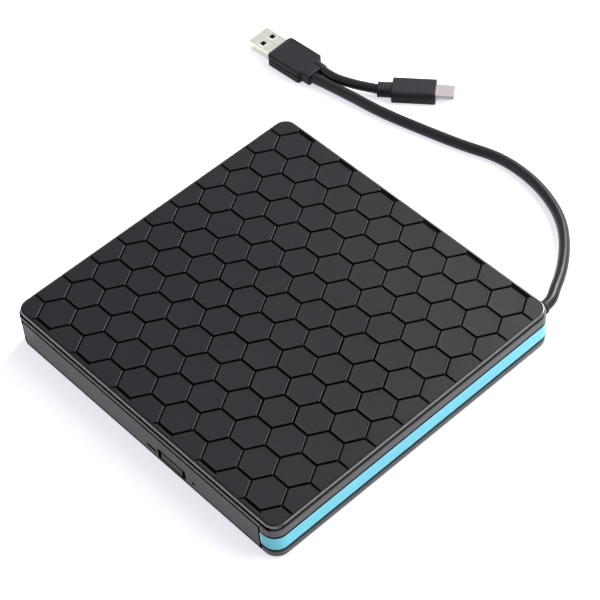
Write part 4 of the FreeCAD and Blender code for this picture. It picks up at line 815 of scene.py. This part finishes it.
pick(plug_body, "FACE", lambda face: face.normal.z > 0.99 and at(face.calc_center_median().z, body_top))
bpy.ops.mesh.inset(thickness=0.7 * MM, depth=0)
bpy.ops.mesh.inset(thickness=0.15 * MM, depth=-0.1 * MM)
calm()
print("Body has", len(plug_body.data.polygons), "faces")

# %% The block and the collar behind it
block_low = (body_end - 0.6 * MM, -6.35 * MM, 1.2 * MM)
block_high = (body_end + 4.8 * MM, 2.15 * MM, 6.8 * MM)
block = box_piece("plug_block", block_low, block_high)
pick(block, "EDGE", lambda edge: runs_along(edge, 0))
bpy.ops.mesh.bevel(offset=1.2 * MM, segments=3, affect="EDGES")
pick(block, "EDGE", lambda edge: all(at(vertex.co.x, block_high[0]) for vertex in edge.verts))
bpy.ops.mesh.bevel(offset=0.45 * MM, segments=2, affect="EDGES")
calm()
collar_radius = 2.6 * MM
collar = turned_piece("plug_collar", [(-0.6 * MM, collar_radius), (4.6 * MM, collar_radius),
                                      (5.1 * MM, 0.88 * collar_radius)])
lay(collar, (body_end, 3.1 * MM, 4.1 * MM), along_plug, Vector((0, 0, 1)))
join([plug_body, block, collar])
soften(plug_body, 0.16 * MM, angle=25)
lay(plug_body, large_place, large_direction, along_plug)
stand_in(plug_body, "usb_a_body", "case", plug_plastic)

# %% [markdown]
# ## The large plug's shell
# The shell is a sleeve bent from thin plated sheet, with two square windows on each broad side for the
# catches. Each window has a raised border, and a fine seam runs back from between them. We start with a box,
# round its long edges, open both ends, cut a grid of lines with bisect, raise the borders, sink the seam,
# delete the windows and let the Solidify modifier give the sheet its 0.3 mm.
# %% Large plug's shell
sheet = 0.3 * MM
shell_half = 6.0 * MM
shell_low = body_top / 2 - 2.25 * MM
shell_high = body_top / 2 + 2.25 * MM
shell = box_piece("large_plug_shell", (0, -shell_half, shell_low),
                  (body_start + 1.0 * MM, shell_half, shell_high))
pick(shell, "EDGE", lambda edge: runs_along(edge, 0))
bpy.ops.mesh.bevel(offset=0.55 * MM, segments=4, affect="EDGES")
pick(shell, "FACE", lambda face: abs(face.normal.x) > 0.99)
bpy.ops.mesh.delete(type="FACE")
print("Sleeve", round(2 * shell_half / MM, 1), "mm wide")

# %% Cut lines for the windows and the seam
window_x = (5.2 * MM, 7.4 * MM)
window_y = (1.75 * MM, 4.05 * MM)
border_width = 0.6 * MM
seam_half = 0.08 * MM
for margin in (0, border_width):
    for cut in (window_x[0] - margin, window_x[1] + margin):
        bpy.ops.mesh.select_all(action="SELECT")
        bpy.ops.mesh.bisect(plane_co=(cut, 0, 0), plane_no=(1, 0, 0))
    for cut in (window_y[0] - margin, window_y[1] + margin):
        for side in (-1, 1):
            bpy.ops.mesh.select_all(action="SELECT")
            bpy.ops.mesh.bisect(plane_co=(0, side * cut, 0), plane_no=(0, 1, 0))
for side in (-1, 1):
    bpy.ops.mesh.select_all(action="SELECT")
    bpy.ops.mesh.bisect(plane_co=(0, side * seam_half, 0), plane_no=(0, 1, 0))
print("Sleeve cut into", len(bmesh.from_edit_mesh(shell.data).faces), "faces")


# %% Raised borders, seam, windows and wall
def in_window(face, margin=0.0):
    middle = face.calc_center_median()
    return (abs(face.normal.z) > 0.99 and window_x[0] - margin < middle.x < window_x[1] + margin
            and window_y[0] - margin < abs(middle.y) < window_y[1] + margin)


pick(shell, "FACE", lambda face: in_window(face, border_width))
bpy.ops.mesh.inset(thickness=0.1 * MM, depth=0.09 * MM)
pick(shell, "FACE", lambda face: face.normal.z > 0.99 and abs(face.calc_center_median().y) < seam_half
     and face.calc_center_median().x > window_x[1])
bpy.ops.mesh.inset(thickness=0.02 * MM, depth=-0.15 * MM)
pick(shell, "FACE", in_window)
bpy.ops.mesh.delete(type="FACE")
bpy.ops.mesh.select_all(action="SELECT")
bpy.ops.mesh.normals_make_consistent(inside=False)
work_on(shell)
thickness = shell.modifiers.new("sheet", "SOLIDIFY")
thickness.thickness = sheet
thickness.offset = -1
bpy.ops.object.modifier_apply(modifier=thickness.name)
even_out(shell)
lay(shell, large_place, large_direction, along_plug)
stand_in(shell, "usb_a_shell", "case", nickel)

# %% [markdown]
# ## The small plug
# The small plug's body is a rounded box with blunt ends and a short flat neck with three shallow ribs. Like
# the large plug it is made along +X at the origin, where numbers are plain, and is then laid in place.
# %% Small plug's body
small_place = (-72.0 * MM, 123.3 * MM, 0)
small_turn = math.radians(39.5)
small_direction = (math.cos(small_turn), math.sin(small_turn), 0)
small_start = 6.4 * MM
small_end = 25.7 * MM
small_half = 5.95 * MM
small_height = 6.5 * MM

small_body = box_piece("small_plug_body", (small_start, -small_half, 0),
                       (small_end, small_half, small_height))
pick(small_body, "EDGE", lambda edge: runs_along(edge, 0))
bpy.ops.mesh.bevel(offset=2.2 * MM, segments=6, affect="EDGES")
for end in (small_start, small_end):
    pick(small_body, "EDGE", lambda edge: all(at(vertex.co.x, end) for vertex in edge.verts))
    bpy.ops.mesh.bevel(offset=0.4 * MM, segments=3, affect="EDGES")
calm()
print("Small body has", len(small_body.data.polygons), "faces")

# %% Its neck
neck_half = 3.6 * MM
neck_low = small_height / 2 - 2.7 * MM
neck_high = small_height / 2 + 2.7 * MM
neck = box_piece("small_plug_neck", (0, -neck_half, neck_low),
                 (small_start + 0.6 * MM, neck_half, neck_high))
pick(neck, "EDGE", lambda edge: runs_along(edge, 0))
bpy.ops.mesh.bevel(offset=2.3 * MM, segments=6, affect="EDGES")
pick(neck, "EDGE", lambda edge: all(at(vertex.co.x, 0) for vertex in edge.verts))
bpy.ops.mesh.bevel(offset=0.35 * MM, segments=2, affect="EDGES")
rib_width = 0.5 * MM
for rib_start in (1.2 * MM, 2.7 * MM, 4.2 * MM):
    for cut in (rib_start, rib_start + rib_width):
        bpy.ops.mesh.select_all(action="SELECT")
        bpy.ops.mesh.bisect(plane_co=(cut, 0, 0), plane_no=(1, 0, 0))
    pick(neck, "FACE", lambda face: rib_start < face.calc_center_median().x < rib_start + rib_width)
    bpy.ops.mesh.inset(thickness=0.05 * MM, depth=-0.22 * MM)
calm()
join([small_body, neck])
soften(small_body, 0.08 * MM, angle=50)
lay(small_body, small_place, small_direction, along_plug)
stand_in(small_body, "usb_c_body", "case", plug_plastic)

# %% [markdown]
# ## The small plug's shell
# This shell is a seamless oval tube. A box with two fully rounded sides gives the oval, the open ends are
# deleted, and Solidify gives the wall.
# %% Small plug's shell
oval_half = 4.17 * MM
oval_low = small_height / 2 - 1.28 * MM
oval_high = small_height / 2 + 1.28 * MM
oval = box_piece("small_plug_shell", (small_end - 1.0 * MM, -oval_half, oval_low),
                 (small_end + 7.9 * MM, oval_half, oval_high))
pick(oval, "EDGE", lambda edge: runs_along(edge, 0))
bpy.ops.mesh.bevel(offset=1.24 * MM, segments=8, affect="EDGES")
pick(oval, "FACE", lambda face: abs(face.normal.x) > 0.99)
bpy.ops.mesh.delete(type="FACE")
work_on(oval)
wall = oval.modifiers.new("sheet", "SOLIDIFY")
wall.thickness = sheet
wall.offset = -1
bpy.ops.object.modifier_apply(modifier=wall.name)
even_out(oval)
lay(oval, small_place, small_direction, along_plug)
stand_in(oval, "usb_c_shell", "case", rose_nickel)

# %% [markdown]
# ## The grommet
# A soft grommet grips the case's wall between two flanges and ends in a short ribbed taper that keeps the
# lead from kinking. All of it is turned work: one circle that is extruded and resized step by step, with
# three ribs cut into the taper.
# %% Grommet
exit_place = Vector((67.3, 73.9, 8.85)) * MM
gland_low, gland_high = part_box("cable_gland")
inner_end = gland_low.y - exit_place.y
stop_radius = 3.0 * MM
hole_radius = 2.7 * MM
flange_radius = 3.4 * MM
stop_end = inner_end + 1.0 * MM
steps = [(inner_end, stop_radius), (stop_end, stop_radius), (stop_end, hole_radius), (0, hole_radius),
         (0, flange_radius), (0.7 * MM, flange_radius), (1.0 * MM, 3.15 * MM)]
for rib in range(3):
    foot = (1.7 + 1.25 * rib) * MM
    radius = (3.12 - 0.09 * rib) * MM
    steps += [(foot, radius), (foot + 0.1 * MM, radius - 0.3 * MM), (foot + 0.45 * MM, radius - 0.3 * MM),
              (foot + 0.55 * MM, radius)]
steps += [(5.2 * MM, 2.85 * MM), (5.5 * MM, 2.55 * MM)]
grommet = turned_piece("grommet", steps)
lay(grommet, exit_place, (0, 1, 0), Vector((0, 0, 1)))
soften(grommet, 0.07 * MM, angle=50)
stand_in(grommet, "cable_gland", "case", foot_rubber)

# %% [markdown]
# ## The foam strips
# Two strips of foam keep the drive from rattling under the case's roof. They are squeezed a little, so their
# long sides belly out between the drive and the roof. A strip is a box whose sides get a middle line that is
# pushed outwards, and bevels round its upright edges and its top and bottom edges.
# %% Foam strips
foam_low, foam_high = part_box("foam_pads")
strip_half = 3.7 * MM
belly = 0.3 * MM
strips = []
for strip_y in (-45.0 * MM, 35.0 * MM):
    strip = box_piece("foam_strip", (foam_low.x + 0.3 * MM, strip_y - strip_half, foam_low.z),
                      (foam_high.x - 0.3 * MM, strip_y + strip_half, foam_high.z))
    bpy.ops.mesh.select_all(action="SELECT")
    bpy.ops.mesh.bisect(plane_co=(0, 0, (foam_low.z + foam_high.z) / 2), plane_no=(0, 0, 1))
    pick(strip, "EDGE", lambda edge: all(at(vertex.co.z, (foam_low.z + foam_high.z) / 2)
                                         for vertex in edge.verts))
    length = foam_high.x - foam_low.x - 0.6 * MM
    bpy.ops.transform.resize(value=(1 + 2 * belly / length, 1 + belly / strip_half, 1),
                             center_override=(0, strip_y, 0))
    pick(strip, "EDGE", lambda edge: not at(edge.verts[0].co.z, edge.verts[1].co.z))
    bpy.ops.mesh.bevel(offset=0.8 * MM, segments=3, affect="EDGES")
    for level in (foam_low.z, foam_high.z):
        pick(strip, "EDGE", lambda edge: all(at(vertex.co.z, level) for vertex in edge.verts))
        bpy.ops.mesh.bevel(offset=0.18 * MM, segments=2, affect="EDGES")
    calm()
    strips.append(strip)
foam_strips = join(strips)
foam_strips.name = "foam_strips"
even_out(foam_strips)
stand_in(foam_strips, "foam_pads", "case", foam)

# %% [markdown]
# ## Floor and light
# The photo has a pure white ground with a soft grey shadow. The floor's own shading keeps the shadow, and
# for the camera a white glow is added to it, so the ground turns white without more light on the drive.
# The low strip behind the drive only lights it: the top would mirror that lamp when it is seen from in front.
# %% Floor
def white_ground():
    """A floor that is pale to light and nearly white to the camera, shadow kept."""
    finish = Finish("ground")
    tree = finish.tree
    tree.nodes.remove(finish.shader)
    output = tree.nodes["Material Output"]
    path = tree.nodes.new("ShaderNodeLightPath")
    sees = Amount(finish, path.outputs["Is Camera Ray"])
    sees = sees.math("MAXIMUM", Amount(finish, path.outputs["Is Glossy Ray"]))
    sees = sees.math("MAXIMUM", Amount(finish, path.outputs["Is Transmission Ray"]))
    plain = finish.node("ShaderNodeBsdfDiffuse", {}, (0.78, 0.78, 0.79, 1))
    # The glow is a little lavender and the shading a little yellow: lit ground adds up to white, and the
    # shadow gets a painted lavender tint.
    shaded = finish.node("ShaderNodeBsdfDiffuse", {}, (0.62, 0.63, 0.57, 1))
    glow = finish.node("ShaderNodeEmission", {}, (0.635, 0.62, 0.69, 1), 1.0)
    seen = finish.node("ShaderNodeAddShader", {}, shaded, glow)
    mixed = finish.node("ShaderNodeMixShader", {}, sees, plain, seen)
    tree.links.new(mixed.socket, output.inputs["Surface"])
    return finish


floor_size = 6.0
calm()
bpy.ops.mesh.primitive_plane_add(size=floor_size, location=(0, 0, 0))
floor = bpy.context.object
floor.name = "floor"
dress(floor, white_ground())
print("Floor laid")


# %% Lamps
def softbox(name, direction, distance, width, height, watts):
    """A flat lamp that stands in a direction from the drive and faces it."""
    data = bpy.data.lights.new(name, "AREA")
    data.shape = "RECTANGLE"
    data.size = width
    data.size_y = height
    data.energy = watts
    place = Vector(direction).normalized() * distance
    lamp = bpy.data.objects.new(name, data)
    bpy.context.collection.objects.link(lamp)
    lamp.location = place
    lamp.rotation_mode = "QUATERNION"
    lamp.rotation_quaternion = (-place).to_track_quat("-Z", "Y")
    return lamp


softbox("top_softbox", (0.45, 0.35, 0.82), 1.2, 0.5, 0.5, 4.5)
softbox("sheen_softbox", (-0.06, 0.76, 0.65), 1.1, 0.5, 0.5, 23.0)
back_strip = softbox("back_strip", (0.25, 0.88, 0.30), 1.2, 1.0, 0.25, 5.0)
back_strip.visible_glossy = False
softbox("right_strip", (0.74, 0.41, 0.48), 1.2, 0.5, 0.25, 3.5)
softbox("left_front_strip", (-0.50, -0.66, 0.50), 1.2, 0.8, 0.2, 2.2)
print("Lamps lit")

# %% World
world = bpy.data.worlds.new("studio")
bpy.context.scene.world = world
world.use_nodes = True
background = world.node_tree.nodes["Background"]
background.inputs["Color"].default_value = (0.94, 0.96, 1.0, 1)
world_path = world.node_tree.nodes.new("ShaderNodeLightPath")
world_seen = world_path.outputs["Is Camera Ray"]
for ray in ("Is Glossy Ray", "Is Transmission Ray"):
    either = world.node_tree.nodes.new("ShaderNodeMath")
    either.operation = "MAXIMUM"
    world.node_tree.links.new(world_seen, either.inputs[0])
    world.node_tree.links.new(world_path.outputs[ray], either.inputs[1])
    world_seen = either.outputs["Value"]
world_level = world.node_tree.nodes.new("ShaderNodeMapRange")
world_level.inputs["To Min"].default_value = 0.32
world_level.inputs["To Max"].default_value = 1.0
world.node_tree.links.new(world_seen, world_level.inputs["Value"])
world.node_tree.links.new(world_level.outputs["Result"], background.inputs["Strength"])
bpy.context.scene.view_settings.view_transform = "Standard"
print("World ready")

calm()
bpy.context.view_layer.update()
